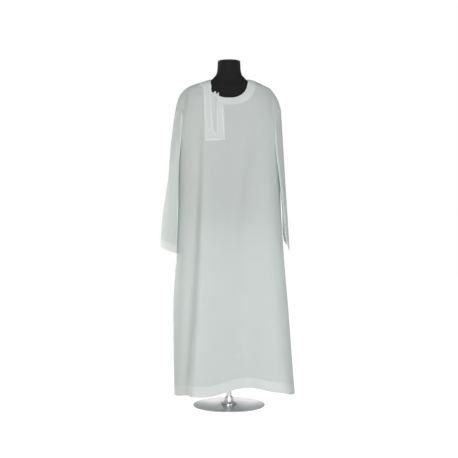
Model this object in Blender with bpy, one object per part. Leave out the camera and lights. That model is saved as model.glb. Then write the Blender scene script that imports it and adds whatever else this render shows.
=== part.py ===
"""A light alb with a short neck zip, worn by a limbless dress form on a round base.

Metres, +Z up. The origin is on the floor under the pole, the robe's front faces -Y, and
left and right are those of someone who looks at the front.
"""
import math

import bmesh
import bpy
from mathutils import Matrix, Vector

# ---------------------------------------------------------------- cloth and its seams
CLOTH = 0.0015          # wall of one layer of cloth
DOUBLE_CLOTH = 0.0027   # wall where a hem or cuff is turned up inside
SEAM = 0.0003           # gap where two pieces meet
LAYER_GAP = 0.0007      # gap under a piece that lies on a panel
TAPE = 0.0010           # wall of the zip's tape
HEM_DEPTH = 0.050
CUFF_DEPTH = 0.025
TURN_EDGE = 0.003       # run over which a turned-up hem's second layer begins

# Level sections through the robe's body, highest first. Half widths are measured from the
# pole's axis, depths from it to the front and to the back. Squareness 2 is an ellipse.
BODY_SECTIONS = [
    # height, left, right, front, back, squareness
    (1.497, 0.0840, 0.0865, 0.0460, 0.0460, 2.20),
    (1.486, 0.1150, 0.1240, 0.0620, 0.0620, 2.30),
    (1.472, 0.1620, 0.1540, 0.0730, 0.0710, 2.40),
    (1.454, 0.1985, 0.1880, 0.0830, 0.0810, 2.40),
    (1.433, 0.2200, 0.2060, 0.0920, 0.0910, 2.40),
    (1.407, 0.2335, 0.2220, 0.1025, 0.1000, 2.50),
    (1.380, 0.2412, 0.2320, 0.1110, 0.1070, 2.50),
    (1.345, 0.2440, 0.2390, 0.1190, 0.1140, 2.50),
    (1.290, 0.2420, 0.2390, 0.1250, 0.1190, 2.50),
    (1.210, 0.2370, 0.2350, 0.1290, 0.1220, 2.50),
    (1.110, 0.2320, 0.2320, 0.1310, 0.1230, 2.50),
    (0.945, 0.2322, 0.2359, 0.1350, 0.1270, 2.50),
    (0.715, 0.2393, 0.2485, 0.1460, 0.1370, 2.50),
    (0.440, 0.2551, 0.2716, 0.1600, 0.1530, 2.45),
    (0.200, 0.2545, 0.2900, 0.1710, 0.1680, 2.40),
    (0.040, 0.2516, 0.3030, 0.1780, 0.1780, 2.40),
]

# Folds: a path down one face of the robe, how far it spreads to its left and right, and how
# far the cloth stands out (+) or in (-) along it. Across and out have a value for each end
# and for half way.
FRONT_FOLDS = [
    # name, top, foot, (across), spread left, spread right, (out)
    ("left ridge", 1.340, 0.050, (-0.118, -0.122, -0.150), 0.032, 0.085, (0.0, 0.014, 0.028)),
    ("left valley", 1.300, 0.050, (-0.165, -0.172, -0.205), 0.030, 0.030, (0.0, -0.007, -0.016)),
    ("middle valley", 1.380, 0.050, (0.125, 0.088, 0.110), 0.050, 0.048, (0.0, -0.014, -0.045)),
    ("right ridge", 1.050, 0.050, (0.165, 0.182, 0.216), 0.045, 0.040, (0.0, 0.008, 0.026)),
    ("left shoulder", 1.450, 1.340, (-0.196, -0.204, -0.208), 0.016, 0.016, (0.0, -0.006, 0.0)),
    ("right shoulder", 1.440, 1.310, (0.196, 0.198, 0.200), 0.016, 0.016, (0.0, -0.006, 0.0)),
]
BACK_FOLDS = [
    ("left ridge", 1.260, 0.050, (-0.130, -0.145, -0.170), 0.045, 0.050, (0.0, 0.012, 0.030)),
    ("left valley", 1.150, 0.050, (-0.070, -0.075, -0.080), 0.035, 0.035, (0.0, -0.008, -0.022)),
    ("middle ridge", 1.200, 0.050, (0.000, 0.008, 0.018), 0.045, 0.045, (0.0, 0.010, 0.026)),
    ("right valley", 1.150, 0.050, (0.070, 0.085, 0.100), 0.035, 0.035, (0.0, -0.008, -0.024)),
    ("right ridge", 1.280, 0.050, (0.130, 0.155, 0.190), 0.045, 0.045, (0.0, 0.012, 0.032)),
    ("left shoulder", 1.445, 1.330, (-0.186, -0.192, -0.196), 0.018, 0.018, (0.0, -0.006, 0.0)),
    ("right shoulder", 1.435, 1.300, (0.184, 0.190, 0.192), 0.018, 0.018, (0.0, -0.006, 0.0)),
]

# Height of the hem at each place across the front and the back.
FRONT_HEM = [
    # across, height
    (-0.252, 0.058), (-0.209, 0.066), (-0.158, 0.076), (-0.106, 0.075), (-0.073, 0.077),
    (-0.029, 0.087), (0.031, 0.103), (0.107, 0.105), (0.148, 0.101), (0.174, 0.095),
    (0.206, 0.087), (0.250, 0.077), (0.302, 0.060),
]
BACK_HEM = [
    (-0.252, 0.058), (-0.150, 0.050), (0.000, 0.053), (0.080, 0.056), (0.190, 0.050), (0.302, 0.060),
]

# ---------------------------------------------------------------- neck opening and its band
# Each edge is a squared half oval: its height at the shoulder seams and its drop to the middle.
NECK_SQUARENESS = 2.5
NECK_HEIGHT = 1.497
FRONT_NECK_DROP = 0.097
BACK_NECK_DROP = 0.024
BAND_HEIGHT = 1.4866
FRONT_BAND_DROP = 0.118
BACK_BAND_DROP = 0.046

# ---------------------------------------------------------------- armholes and sleeves
# side: -1 left, +1 right
ARMHOLES = {
    # side: shoulder tip height, underarm height, front bulge, back bulge
    -1: (1.386, 1.122, 0.081, 0.072),
    1: (1.352, 1.092, 0.084, 0.074),
}
ARMHOLE_FULLNESS = (0.65, 0.32)      # power of its curve at the underarm and at the tip
CUFFS = {
    # side: middle, from there to the outer side, from there to the front, drop of the twist
    -1: ((-0.2785, 0.0000, 0.7175), (-0.0122, -0.0045, 0.0000), (0.0435, -0.1000, -0.0125), 0.0),
    1: ((0.2635, 0.0000, 0.7530), (0.0155, 0.0000, -0.0370), (-0.0060, -0.0900, 0.0120), 0.010),
}
# How the sleeve leaves the armhole at its tip, front, underarm and back: outwards, forwards
# and down, as a share of the way to the cuff.
SLEEVE_START = {
    # side: (outwards, forwards, down) four times
    -1: ((0.062, 0.000, 0.330), (0.035, 0.075, 0.260), (0.090, 0.000, 0.060), (0.085, -0.080, 0.260)),
    1: ((0.020, 0.000, 0.330), (0.020, 0.060, 0.260), (0.060, 0.000, 0.060), (0.040, -0.060, 0.260)),
}
SLEEVE_END = 0.36       # run into the cuff, as a share of the way
SLEEVE_LEAN = {-1: 0.03, 1: 0.06}   # how far that run leans outwards

# ---------------------------------------------------------------- placket and zip
PLACKET_LEFT = ((-0.1165, 1.4866), (-0.1052, 1.2045))    # (x, height) at the top and the bottom
PLACKET_RIGHT = ((-0.0262, 1.3740), (-0.0172, 1.2100))
SLOT_FOOT = ((-0.0645, 1.2395), (-0.0542, 1.2430))        # the two corners of the slot's foot
SLOT_SHOULDER = 1.262                                    # where the slot begins to close
ZIP_LINE = ((-0.0622, 1.4250), (-0.0590, 1.2400))
SLOT_LEFT = (0.0180, 0.0120)     # from the zip's line to the slot's left edge, top and bottom
SLOT_RIGHT = (0.0066, 0.0050)
CUT_LEFT = 0.0200                # from the zip's line to the cut in the front panel
CUT_RIGHT = 0.0130
TAPE_PARTING = 0.0012            # from the zip's line to each tape
TAPE_TOPS = {"zip_tape_left": (1.4310, 1.4240), "zip_tape_right": (1.4275, 1.4165)}
SLIDER_HEIGHT = 1.4235           # heights of the slider's middle and of the bottom stop
STOP_HEIGHT = 1.2480
SLIDER_LENGTH = 0.0115
SLIDER_WIDTH = 0.0088
SLIDER_TAPER = 0.8               # width at the slider's foot, as a share of its top's
SLIDER_CHAMFER = (0.0008, 0.0005)   # across and down, along the top plate's edges
SLIDER_BOTTOM = (0.0005, 0.0016)    # upper and under side of the bottom plate, below the tape
SLIDER_BOTTOM_INSET = 0.0006     # how much narrower the bottom plate is on each side
SLIDER_WEB = 0.0008              # half the web that runs between the tapes
SLIDER_PLATE = (0.0018, 0.0034)  # under and upper side of the top plate, above the tape
ARCH_SPAN = 0.0074
ARCH_WIDTH = 0.0022
ARCH_WALL = 0.0012
ARCH_TOP = 0.0072
ARCH_SUNK = 0.0004               # how far the arch's feet reach into the top plate
ARCH_CORNER = 0.0008
PULL_AXIS = (0.0010, 0.0046)     # down the zip from the slider's middle, and above the tape
PULL_BAR = 0.0013
PULL_HOLE = 0.0060               # from the pull's axis to the far end of its hole
PULL_HALVES = (0.0017, 0.0029)   # half width of its hole, and of its widest part
PULL_LEAF = [
    # down from the axis, share of the width
    (0.0076, 0.84), (0.0130, 0.84), (0.0175, 1.02), (0.0205, 1.00), (0.0222, 0.74), (0.0228, 0.40),
]
STOP_HALVES = (0.0026, 0.0016)   # half the bottom stop's width and length
STOP_TOP = 0.0019

# ---------------------------------------------------------------- the form and its stand
FORM_SECTIONS = [
    # height, left, right, front, back, squareness
    (1.576, 0.0525, 0.0525, 0.0500, 0.0500, 2.00),
    (1.552, 0.0530, 0.0530, 0.0505, 0.0505, 2.00),
    (1.531, 0.0552, 0.0552, 0.0510, 0.0520, 2.00),
    (1.518, 0.0605, 0.0605, 0.0520, 0.0540, 2.00),
    (1.506, 0.0710, 0.0710, 0.0530, 0.0555, 2.05),
    (1.497, 0.0800, 0.0800, 0.0540, 0.0570, 2.10),
    (1.488, 0.0900, 0.0900, 0.0555, 0.0580, 2.20),
    (1.4795, 0.1140, 0.1140, 0.0590, 0.0600, 2.30),
    (1.4672, 0.1520, 0.1520, 0.0695, 0.0680, 2.40),
    (1.4492, 0.1850, 0.1860, 0.0785, 0.0780, 2.40),
    (1.4280, 0.2015, 0.2030, 0.0865, 0.0880, 2.40),
    (1.4020, 0.2080, 0.2090, 0.0960, 0.0960, 2.50),
    (1.375, 0.2060, 0.2060, 0.1030, 0.1010, 2.45),
    (1.340, 0.1930, 0.1930, 0.1090, 0.1050, 2.40),
    (1.290, 0.1770, 0.1770, 0.1140, 0.1060, 2.40),
    (1.240, 0.1660, 0.1660, 0.1150, 0.1020, 2.35),
    (1.170, 0.1500, 0.1500, 0.1060, 0.0920, 2.30),
    (1.090, 0.1390, 0.1390, 0.0950, 0.0820, 2.30),
    (1.020, 0.1460, 0.1460, 0.0980, 0.0900, 2.30),
    (0.940, 0.1620, 0.1620, 0.1060, 0.1050, 2.30),
    (0.880, 0.1660, 0.1660, 0.1080, 0.1110, 2.30),
    (0.840, 0.1630, 0.1630, 0.1050, 0.1080, 2.30),
    (0.822, 0.1560, 0.1560, 0.0990, 0.1020, 2.30),
    (0.813, 0.1440, 0.1440, 0.0890, 0.0920, 2.30),
]
FORM_SIDES = 28
CAP_RADIUS = 0.0528
CAP_THICKNESS = 0.006
BASE_RADIUS = 0.165
BASE_THICKNESS = 0.007
POLE_RADIUS = 0.0125
BASE_SIDES = 48
EDGE_CHAMFER = 0.002
BOSS_HEIGHT = 0.034
BOSS_PROFILE = [
    # radius, height above the base plate
    (0.034, 0.005), (0.021, 0.012),
]
BOSS_RADII = (0.034, 0.019)      # at its foot and its top
COLLAR_HEIGHT = 0.040
COLLAR_RADII = (0.018, 0.034)    # of its sleeve round the pole, and of its flange under the form
COLLAR_FLANGE = (0.010, 0.004)   # heights below its top where the flange begins and is full
CAP_CHAMFER = 0.0015
ROUND_SIDES = 32

FULL_TURN = 2.0 * math.pi


def mix(a, b, share):
    """The value that lies at a share of the way from a to b."""
    return a + (b - a) * share


def along(ends, share):
    """The point at a share of the way between two (x, height) ends."""
    return mix(ends[0][0], ends[1][0], share), mix(ends[0][1], ends[1][1], share)


def three_point(values, share):
    """A curve through a start, a half-way and an end value."""
    start, middle, end = values
    return (start * (1 - share) * (1 - 2 * share) + middle * 4 * share * (1 - share)
            + end * share * (2 * share - 1))


def line_between(table, across):
    """A table's second column, read straight between the rows on each side of a place."""
    for (x0, value0), (x1, value1) in zip(table, table[1:]):
        if across <= x1:
            return mix(value0, value1, min(1.0, max(0.0, (across - x0) / (x1 - x0))))
    return table[-1][1]


def table_slope(table, column, row):
    """Slope of a smooth curve through a table's column at one row."""
    slopes = []
    for upper in (row - 1, row):
        if 0 <= upper < len(table) - 1:
            rise = table[upper][column] - table[upper + 1][column]
            slopes.append(rise / (table[upper][0] - table[upper + 1][0]))
    if len(slopes) == 1:
        return slopes[0]
    if slopes[0] * slopes[1] <= 0.0:
        return 0.0
    return 2.0 * slopes[0] * slopes[1] / (slopes[0] + slopes[1])


def section_at(table, height):
    """All columns of a section table at a height, on smooth curves through its rows."""
    height = min(table[0][0], max(table[-1][0], height))
    row = 0
    while height < table[row + 1][0]:
        row += 1
    high, low = table[row], table[row + 1]
    span = high[0] - low[0]
    s = (height - low[0]) / span
    values = []
    for column in range(1, len(high)):
        values.append(low[column] * (2 * s ** 3 - 3 * s ** 2 + 1)
                      + high[column] * (3 * s ** 2 - 2 * s ** 3)
                      + table_slope(table, column, row + 1) * span * (s ** 3 - 2 * s ** 2 + s)
                      + table_slope(table, column, row) * span * (s ** 3 - s ** 2))
    return values


def signed_power(value, power):
    """A power that keeps the sign of its base."""
    return math.copysign(abs(value) ** power, value)


def section_point(table, turn, height):
    """Point on a section: turn 0 is the right side, -90 degrees the front, 90 the back."""
    left, right, front, back, squareness = section_at(table, height)
    power = 2.0 / squareness
    cosine, sine = math.cos(turn), math.sin(turn)
    reach = right if cosine >= 0.0 else left
    depth = back if sine >= 0.0 else front
    return Vector((reach * signed_power(cosine, power), depth * signed_power(sine, power), height))


def fold_depth(folds, across, height):
    """How far the folds of one face push the cloth out at a place."""
    total = 0.0
    for _name, top, foot, path, spread_left, spread_right, out in folds:
        share = (top - height) / (top - foot)
        if 0.0 < share < 1.05:
            away = across - three_point(path, share)
            spread = (spread_left if away < 0.0 else spread_right) * (0.75 + 0.25 * share)
            total += three_point(out, share) * math.exp(-(away / spread) ** 2)
    return total


def body_point(turn, height):
    """Point on the outside of the robe's body, folds included."""
    point = section_point(BODY_SECTIONS, turn, height)
    left, right, front, back, squareness = section_at(BODY_SECTIONS, height)
    reach = right if point.x >= 0.0 else left
    depth = back if point.y >= 0.0 else front
    outwards = Vector((signed_power(point.x / reach, squareness - 1) / reach,
                       signed_power(point.y / depth, squareness - 1) / depth, 0.0)).normalized()
    folds = BACK_FOLDS if point.y >= 0.0 else FRONT_FOLDS
    from_side = abs(point.y) / depth
    return point + outwards * fold_depth(folds, point.x, height) * min(1.0, 1.5 * from_side)


def body_normal(turn, height):
    """Outward direction of the robe's body."""
    step = 0.01
    rise = 0.002
    high = min(height + rise, BODY_SECTIONS[0][0])
    low = high - 2 * rise
    across = body_point(turn + step, height) - body_point(turn - step, height)
    up = body_point(turn, high) - body_point(turn, low)
    return across.cross(up).normalized()


def turn_at(face, x, height):
    """Turn of the place at x on one face (-1 front, 1 back)."""
    left, right, _front, _back, squareness = section_at(BODY_SECTIONS, height)
    share = min(1.0, abs(x) / (right if x >= 0.0 else left))
    return face * math.acos(math.copysign(share ** (squareness / 2.0), x))


def seam_turn(face, side, height, clear=SEAM / 2):
    """Turn of a panel's side or shoulder edge, or of its armhole edge where it has one."""
    _left, _right, front, back, squareness = section_at(BODY_SECTIONS, height)
    tip, underarm, front_bulge, back_bulge = ARMHOLES[side]
    bulge = 0.0
    if underarm < height < tip:
        rise = (height - (tip + underarm) / 2) / ((tip - underarm) / 2)
        power = mix(*ARMHOLE_FULLNESS, (1 + rise) / 2) / 2
        bulge = (front_bulge if face < 0 else back_bulge) * (1 - rise ** 2) ** power
    depth = front if face < 0 else back
    edge = math.asin((max(clear, bulge) / depth) ** (squareness / 2.0))
    return face * (edge if side > 0 else math.pi - edge)


def bisect(low, high, is_below):
    """The value between low and high where is_below turns from true to false."""
    for _step in range(40):
        middle = (low + high) / 2
        if is_below(middle):
            low = middle
        else:
            high = middle
    return (low + high) / 2


def neck_edge_height(turn_of_height, shoulder_height, drop):
    """Height where a column of the body meets a neck edge with this drop in the middle."""
    def inside(height):
        x = section_point(BODY_SECTIONS, turn_of_height(height), height).x
        left, right, _front, _back, _squareness = section_at(BODY_SECTIONS, shoulder_height)
        half_width = right if x >= 0.0 else left
        return ((abs(x) / half_width) ** NECK_SQUARENESS
                + ((shoulder_height - height) / drop) ** NECK_SQUARENESS) >= 1.0
    return bisect(shoulder_height - drop, shoulder_height, inside)


# ---------------------------------------------------------------- making meshes
def material(name, colour, roughness, metallic=0.0):
    """A plain finish."""
    finish = bpy.data.materials.new(name)
    finish.use_nodes = True
    shader = finish.node_tree.nodes["Principled BSDF"]
    shader.inputs["Base Color"].default_value = (*colour, 1.0)
    shader.inputs["Roughness"].default_value = roughness
    shader.inputs["Metallic"].default_value = metallic
    finish.diffuse_color = (*colour, 1.0)
    return finish


def add_object(name, mesh_source, finish):
    """An object from a bmesh, with its faces turned outwards."""
    bmesh.ops.recalc_face_normals(mesh_source, faces=mesh_source.faces)
    mesh = bpy.data.meshes.new(name)
    mesh_source.to_mesh(mesh)
    mesh_source.free()
    mesh.materials.append(finish)
    mesh.shade_smooth()
    mesh.set_sharp_from_angle(angle=math.radians(40))
    made = bpy.data.objects.new(name, mesh)
    bpy.context.scene.collection.objects.link(made)
    return made


def add_wall(name, outer, inner, finish, skip=(), closed=False):
    """A closed wall between two grids of points; skipped cells are cut through it."""
    rows, columns = len(outer), len(outer[0])
    steps = columns if closed else columns - 1
    shape = bmesh.new()
    points = {}
    for side, grid in ((0, outer), (1, inner)):
        for row in range(rows):
            for column in range(columns):
                points[side, row, column] = grid[row][column]
    cells = {(row, column) for row in range(rows - 1) for column in range(steps)} - set(skip)
    made = {}

    def vertex(side, row, column):
        key = (side, row, column % columns)
        if key not in made:
            made[key] = shape.verts.new(points[key])
        return made[key]

    for row, column in sorted(cells):
        corners = [(row, column), (row, column + 1), (row + 1, column + 1), (row + 1, column)]
        places = [outer[corner[0]][corner[1] % columns] for corner in corners]
        first = 0 if (places[0] - places[2]).length < (places[1] - places[3]).length else 1
        for second in (1, 2):
            triangle = [corners[(first + turn) % 4] for turn in (0, second, second + 1)]
            shape.faces.new([vertex(0, *corner) for corner in triangle])
            shape.faces.new([vertex(1, *corner) for corner in reversed(triangle)])
        neighbours = [(row - 1, column), (row, column + 1), (row + 1, column), (row, column - 1)]
        for start, neighbour in enumerate(neighbours):
            beside = (neighbour[0], neighbour[1] % steps if closed else neighbour[1])
            if beside not in cells:
                first, second = corners[start], corners[(start + 1) % 4]
                shape.faces.new([vertex(0, *second), vertex(0, *first),
                                 vertex(1, *first), vertex(1, *second)])
    return add_object(name, shape, finish)


def inward_directions(tube, side):
    """Direction into a tube at each point of its rings; side is the one that it hangs on."""
    directions = []
    for row, ring in enumerate(tube):
        above, below = tube[max(row - 1, 0)], tube[min(row + 1, len(tube) - 1)]
        line = []
        for column in range(len(ring)):
            around = ring[(column + 1) % len(ring)] - ring[column - 1]
            line.append((below[column] - above[column]).cross(around).normalized() * side)
        directions.append(line)
    return directions


def moved(grid, directions, distances):
    """A grid of points moved along given directions, by one distance for each row."""
    return [[point + direction * distance for point, direction in zip(line, row_directions)]
            for line, row_directions, distance in zip(grid, directions, distances)]


def add_layer(name, places, bottom, thickness, finish):
    """A layer on the body's surface: places is a grid of (turn, height)."""
    lower, upper = [], []
    for line in places:
        points = [body_point(*place) for place in line]
        normals = [body_normal(*place) for place in line]
        lower.append([point + normal * bottom for point, normal in zip(points, normals)])
        upper.append([point + normal * (bottom + thickness) for point, normal in zip(points, normals)])
    return add_wall(name, upper, lower, finish)


def ribbon(inner, outer, steps):
    """A grid of places between two edges with the same number of places."""
    return [[(mix(a[0], b[0], step / steps), mix(a[1], b[1], step / steps))
             for step in range(steps + 1)] for a, b in zip(inner, outer)]


def add_turned(name, profile, finish, sides=ROUND_SIDES):
    """A solid turned about the pole's axis from (radius, height) points, bottom to top."""
    shape = bmesh.new()
    rings = []
    for radius, height in profile:
        ring = []
        for side in range(sides):
            angle = FULL_TURN * side / sides
            ring.append(shape.verts.new((radius * math.cos(angle), radius * math.sin(angle), height)))
        rings.append(ring)
    for low, high in zip(rings, rings[1:]):
        for side in range(sides):
            beside = (side + 1) % sides
            shape.faces.new([low[side], low[beside], high[beside], high[side]])
    shape.faces.new(list(reversed(rings[0])))
    shape.faces.new(rings[-1])
    return add_object(name, shape, finish)


# ---------------------------------------------------------------- body panels
ROWS_YOKE = 6           # neck edge to shoulder tip
ROWS_ARMHOLE = 10       # shoulder tip to underarm
ROWS_SKIRT = 9         # underarm to the top of the hem
YOKE_SAG = 0.045        # how far the row through the shoulder tips drops in the middle


def panel_place(share, turn_of_height, row, hem_table, drop):
    """(turn, height) of one grid point; share runs from the left edge to the right one."""
    tip = mix(ARMHOLES[-1][0], ARMHOLES[1][0], share) - YOKE_SAG * math.sin(math.pi * share) ** 2
    underarm = mix(ARMHOLES[-1][1], ARMHOLES[1][1], share)
    if row <= ROWS_YOKE:
        top = neck_edge_height(turn_of_height, NECK_HEIGHT, drop)
        height = mix(top, tip, (row / ROWS_YOKE) ** 1.3)
    elif row <= ROWS_YOKE + ROWS_ARMHOLE:
        step = (row - ROWS_YOKE) / ROWS_ARMHOLE
        height = mix(tip, underarm, (1 - math.cos(math.pi * step)) / 2)
    else:
        across = body_point(turn_of_height(HEM_DEPTH), HEM_DEPTH).x
        hem = line_between(hem_table, across)
        last = row - ROWS_YOKE - ROWS_ARMHOLE - ROWS_SKIRT
        if last <= 0:
            start = hem + HEM_DEPTH + TURN_EDGE
            height = mix(underarm, start, 1 + last / ROWS_SKIRT)
        else:
            height = hem + (HEM_DEPTH if last == 1 else 0.0)
    return turn_of_height(height), height


def add_panel(name, columns, hem_table, drop, finish, skip=()):
    """A front or back panel from its columns, each a share and a turn for every height."""
    rows = ROWS_YOKE + ROWS_ARMHOLE + ROWS_SKIRT + 3
    outer, normals = [], []
    for row in range(rows):
        places = [panel_place(share, turns, row, hem_table, drop) for share, turns in columns]
        outer.append([body_point(*place) for place in places])
        normals.append([body_normal(*place) for place in places])
    walls = [CLOTH] * (rows - 2) + [DOUBLE_CLOTH] * 2
    inner = moved(outer, normals, [-wall for wall in walls])
    return add_wall(name, outer, inner, finish, skip)


def zip_x(height):
    """Where the zip's line is across the front at a height."""
    share = (ZIP_LINE[0][1] - height) / (ZIP_LINE[0][1] - ZIP_LINE[1][1])
    return mix(ZIP_LINE[0][0], ZIP_LINE[1][0], min(2.0, max(-1.0, share)))


FRONT_COLUMNS_LEFT = 11
FRONT_COLUMNS_RIGHT = 16
BACK_COLUMNS = 24


def front_columns():
    """Columns of the front: both edges of the zip's cut are columns."""
    def between(start, end, share):
        return lambda height: mix(start(height), end(height), share)

    def left_edge(height):
        return seam_turn(-1, -1, height)

    def right_edge(height):
        return seam_turn(-1, 1, height)

    def cut_left(height):
        return turn_at(-1, zip_x(height) - CUT_LEFT, height)

    def cut_right(height):
        return turn_at(-1, zip_x(height) + CUT_RIGHT, height)

    columns = []
    whole = FRONT_COLUMNS_LEFT + FRONT_COLUMNS_RIGHT + 1
    for index in range(FRONT_COLUMNS_LEFT + 1):
        columns.append((index / whole, between(left_edge, cut_left, index / FRONT_COLUMNS_LEFT)))
    for index in range(FRONT_COLUMNS_RIGHT + 1):
        share = (FRONT_COLUMNS_LEFT + 1 + index) / whole
        columns.append((share, between(cut_right, right_edge, index / FRONT_COLUMNS_RIGHT)))
    return columns


def back_columns():
    """Columns of the back, evenly turned from the left edge to the right one."""
    def column(share):
        return lambda height: mix(seam_turn(1, -1, height), seam_turn(1, 1, height), share)

    return [(index / BACK_COLUMNS, column(index / BACK_COLUMNS)) for index in range(BACK_COLUMNS + 1)]


def add_body(cloth):
    """Front and back; the front is cut down from the neck for the zip."""
    cut_rows = ROWS_YOKE + ROWS_ARMHOLE // 2
    cut = [(row, FRONT_COLUMNS_LEFT) for row in range(cut_rows)]
    add_panel("front", front_columns(), FRONT_HEM, FRONT_NECK_DROP, cloth, cut)
    add_panel("back", back_columns(), BACK_HEM, BACK_NECK_DROP, cloth)


# ---------------------------------------------------------------- sleeves
SLEEVE_SIDES = 2 * ROWS_ARMHOLE
SLEEVE_ROWS = 13


def sleeve_start(side, share):
    """Place on the armhole; share runs from the tip by the front, underarm and back."""
    tip, underarm, _front, _back = ARMHOLES[side]
    height = (tip + underarm) / 2 + (tip - underarm) / 2 * math.cos(FULL_TURN * share)
    face = -1 if share <= 0.5 else 1
    return body_point(seam_turn(face, side, height, clear=0.00001), height)


def sleeve_end(side, share):
    """Place on the cuff's edge."""
    middle, outwards, forwards, twist = CUFFS[side]
    angle = FULL_TURN * share
    point = Vector(middle) + Vector(outwards) * math.cos(angle) + Vector(forwards) * math.sin(angle)
    point.z -= twist * math.sin(2 * angle)
    return point


def sleeve_path(side, share):
    """The four control points of one lengthwise curve of a sleeve."""
    start, end = sleeve_start(side, share), sleeve_end(side, share)
    reach = (end - start).length
    quarter = share * 4.0
    first = int(quarter) % 4
    easing = (1 - math.cos(math.pi * (quarter - int(quarter)))) / 2
    outwards, forwards, down = (mix(a, b, easing) for a, b in
                                zip(SLEEVE_START[side][first], SLEEVE_START[side][(first + 1) % 4]))
    start = start + Vector((side * 3 * SEAM, 0.0, -2 * SEAM))
    leave = start + Vector((side * outwards, -forwards, -down)) * reach
    arrive = end + Vector((-side * SLEEVE_LEAN[side], 0.0, 1.0)) * SLEEVE_END * reach
    return start, leave, arrive, end


def add_sleeve(name, side, cloth):
    """A tube from the armhole to the cuff, thicker where the cuff is turned up."""
    shares = [index / SLEEVE_ROWS for index in range(SLEEVE_ROWS)]
    outer = []
    paths = [sleeve_path(side, index / SLEEVE_SIDES) for index in range(SLEEVE_SIDES)]

    def ring(share):
        return [(1 - share) ** 3 * a + 3 * share * (1 - share) ** 2 * b
                + 3 * share ** 2 * (1 - share) * c + share ** 3 * d for a, b, c, d in paths]

    mean_length = sum((path[3] - path[0]).length for path in paths) / len(paths)
    cuff_share = 1 - CUFF_DEPTH / mean_length / (3 * SLEEVE_END)
    edge_share = cuff_share - TURN_EDGE / mean_length / (3 * SLEEVE_END)
    for share in shares:
        outer.append(ring(share * edge_share * SLEEVE_ROWS / (SLEEVE_ROWS - 1)))
    outer += [ring(cuff_share), ring(1.0)]
    walls = [CLOTH] * SLEEVE_ROWS + [DOUBLE_CLOTH] * 2
    inner = moved(outer, inward_directions(outer, side), walls)
    add_wall(name, outer, inner, cloth, closed=True)


# ---------------------------------------------------------------- neck band, placket, zip
BAND_STEPS = 4          # steps across the neck band, the placket and each tape
FRONT_BAND_PIECES = 26
BACK_BAND_PIECES = 26
STRIP_PIECES = 10       # pieces of the placket along the neck
SIDE_PIECES = (7, 6)    # down the slot's left side, and up its right
CORNER_PIECES = (3, 2)  # from the slot's shoulder to its foot, left and right
PLACKET_TIP = 0.46      # where the placket's foot is below the slot's, as a share of its width
TAPE_PIECES = 12


def band_height(turn, face, share):
    """Height on the neck band, at a share of its width from the neck edge."""
    drops = (FRONT_NECK_DROP, FRONT_BAND_DROP) if face < 0 else (BACK_NECK_DROP, BACK_BAND_DROP)
    neck = neck_edge_height(lambda height: turn, NECK_HEIGHT, drops[0])
    edge = neck_edge_height(lambda height: turn, BAND_HEIGHT, drops[1])
    return mix(neck, edge, share)


def band_turn_at(x, share):
    """Turn where a line of the front band crosses an upright line at x."""
    turn = turn_at(-1, x, NECK_HEIGHT - FRONT_NECK_DROP)
    for _step in range(12):
        turn = turn_at(-1, x, band_height(turn, -1, share))
    return turn


def slot_edges(height):
    """Left and right edge of the placket's slot above the place where it closes."""
    share = (ZIP_LINE[0][1] - height) / (ZIP_LINE[0][1] - SLOT_SHOULDER)
    share = min(1.0, max(0.0, share))
    return (zip_x(height) - mix(SLOT_LEFT[0], SLOT_LEFT[1], share),
            zip_x(height) + mix(SLOT_RIGHT[0], SLOT_RIGHT[1], share))


def add_neck_band(cloth):
    """The band round the neck; in front it starts at the placket's slot."""
    start_x = slot_edges(ZIP_LINE[0][1])[1] + SEAM
    places = []
    for piece in range(FRONT_BAND_PIECES + 1):
        line = []
        for step in range(BAND_STEPS + 1):
            share = step / BAND_STEPS
            height = band_height(-0.001, -1, share)
            turn = mix(band_turn_at(start_x, share), seam_turn(-1, 1, height), piece / FRONT_BAND_PIECES)
            line.append((turn, band_height(turn, -1, share)))
        places.append(line)
    add_layer("neck_band_front", places, LAYER_GAP, CLOTH, cloth)
    places = []
    for piece in range(BACK_BAND_PIECES + 1):
        line = []
        for step in range(BAND_STEPS + 1):
            share = step / BAND_STEPS
            height = mix(NECK_HEIGHT, BAND_HEIGHT, share)
            turn = mix(seam_turn(1, -1, height), seam_turn(1, 1, height), piece / BACK_BAND_PIECES)
            line.append((turn, band_height(turn, 1, share)))
        places.append(line)
    add_layer("neck_band_back", places, LAYER_GAP, CLOTH, cloth)


def front_places(points):
    """(turn, height) of points given as (x, height) on the front."""
    return [(turn_at(-1, x, height), height) for x, height in points]


def spaced(ends, pieces):
    """Points from one end to just before the other."""
    return [along(ends, index / pieces) for index in range(pieces)]


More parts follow.
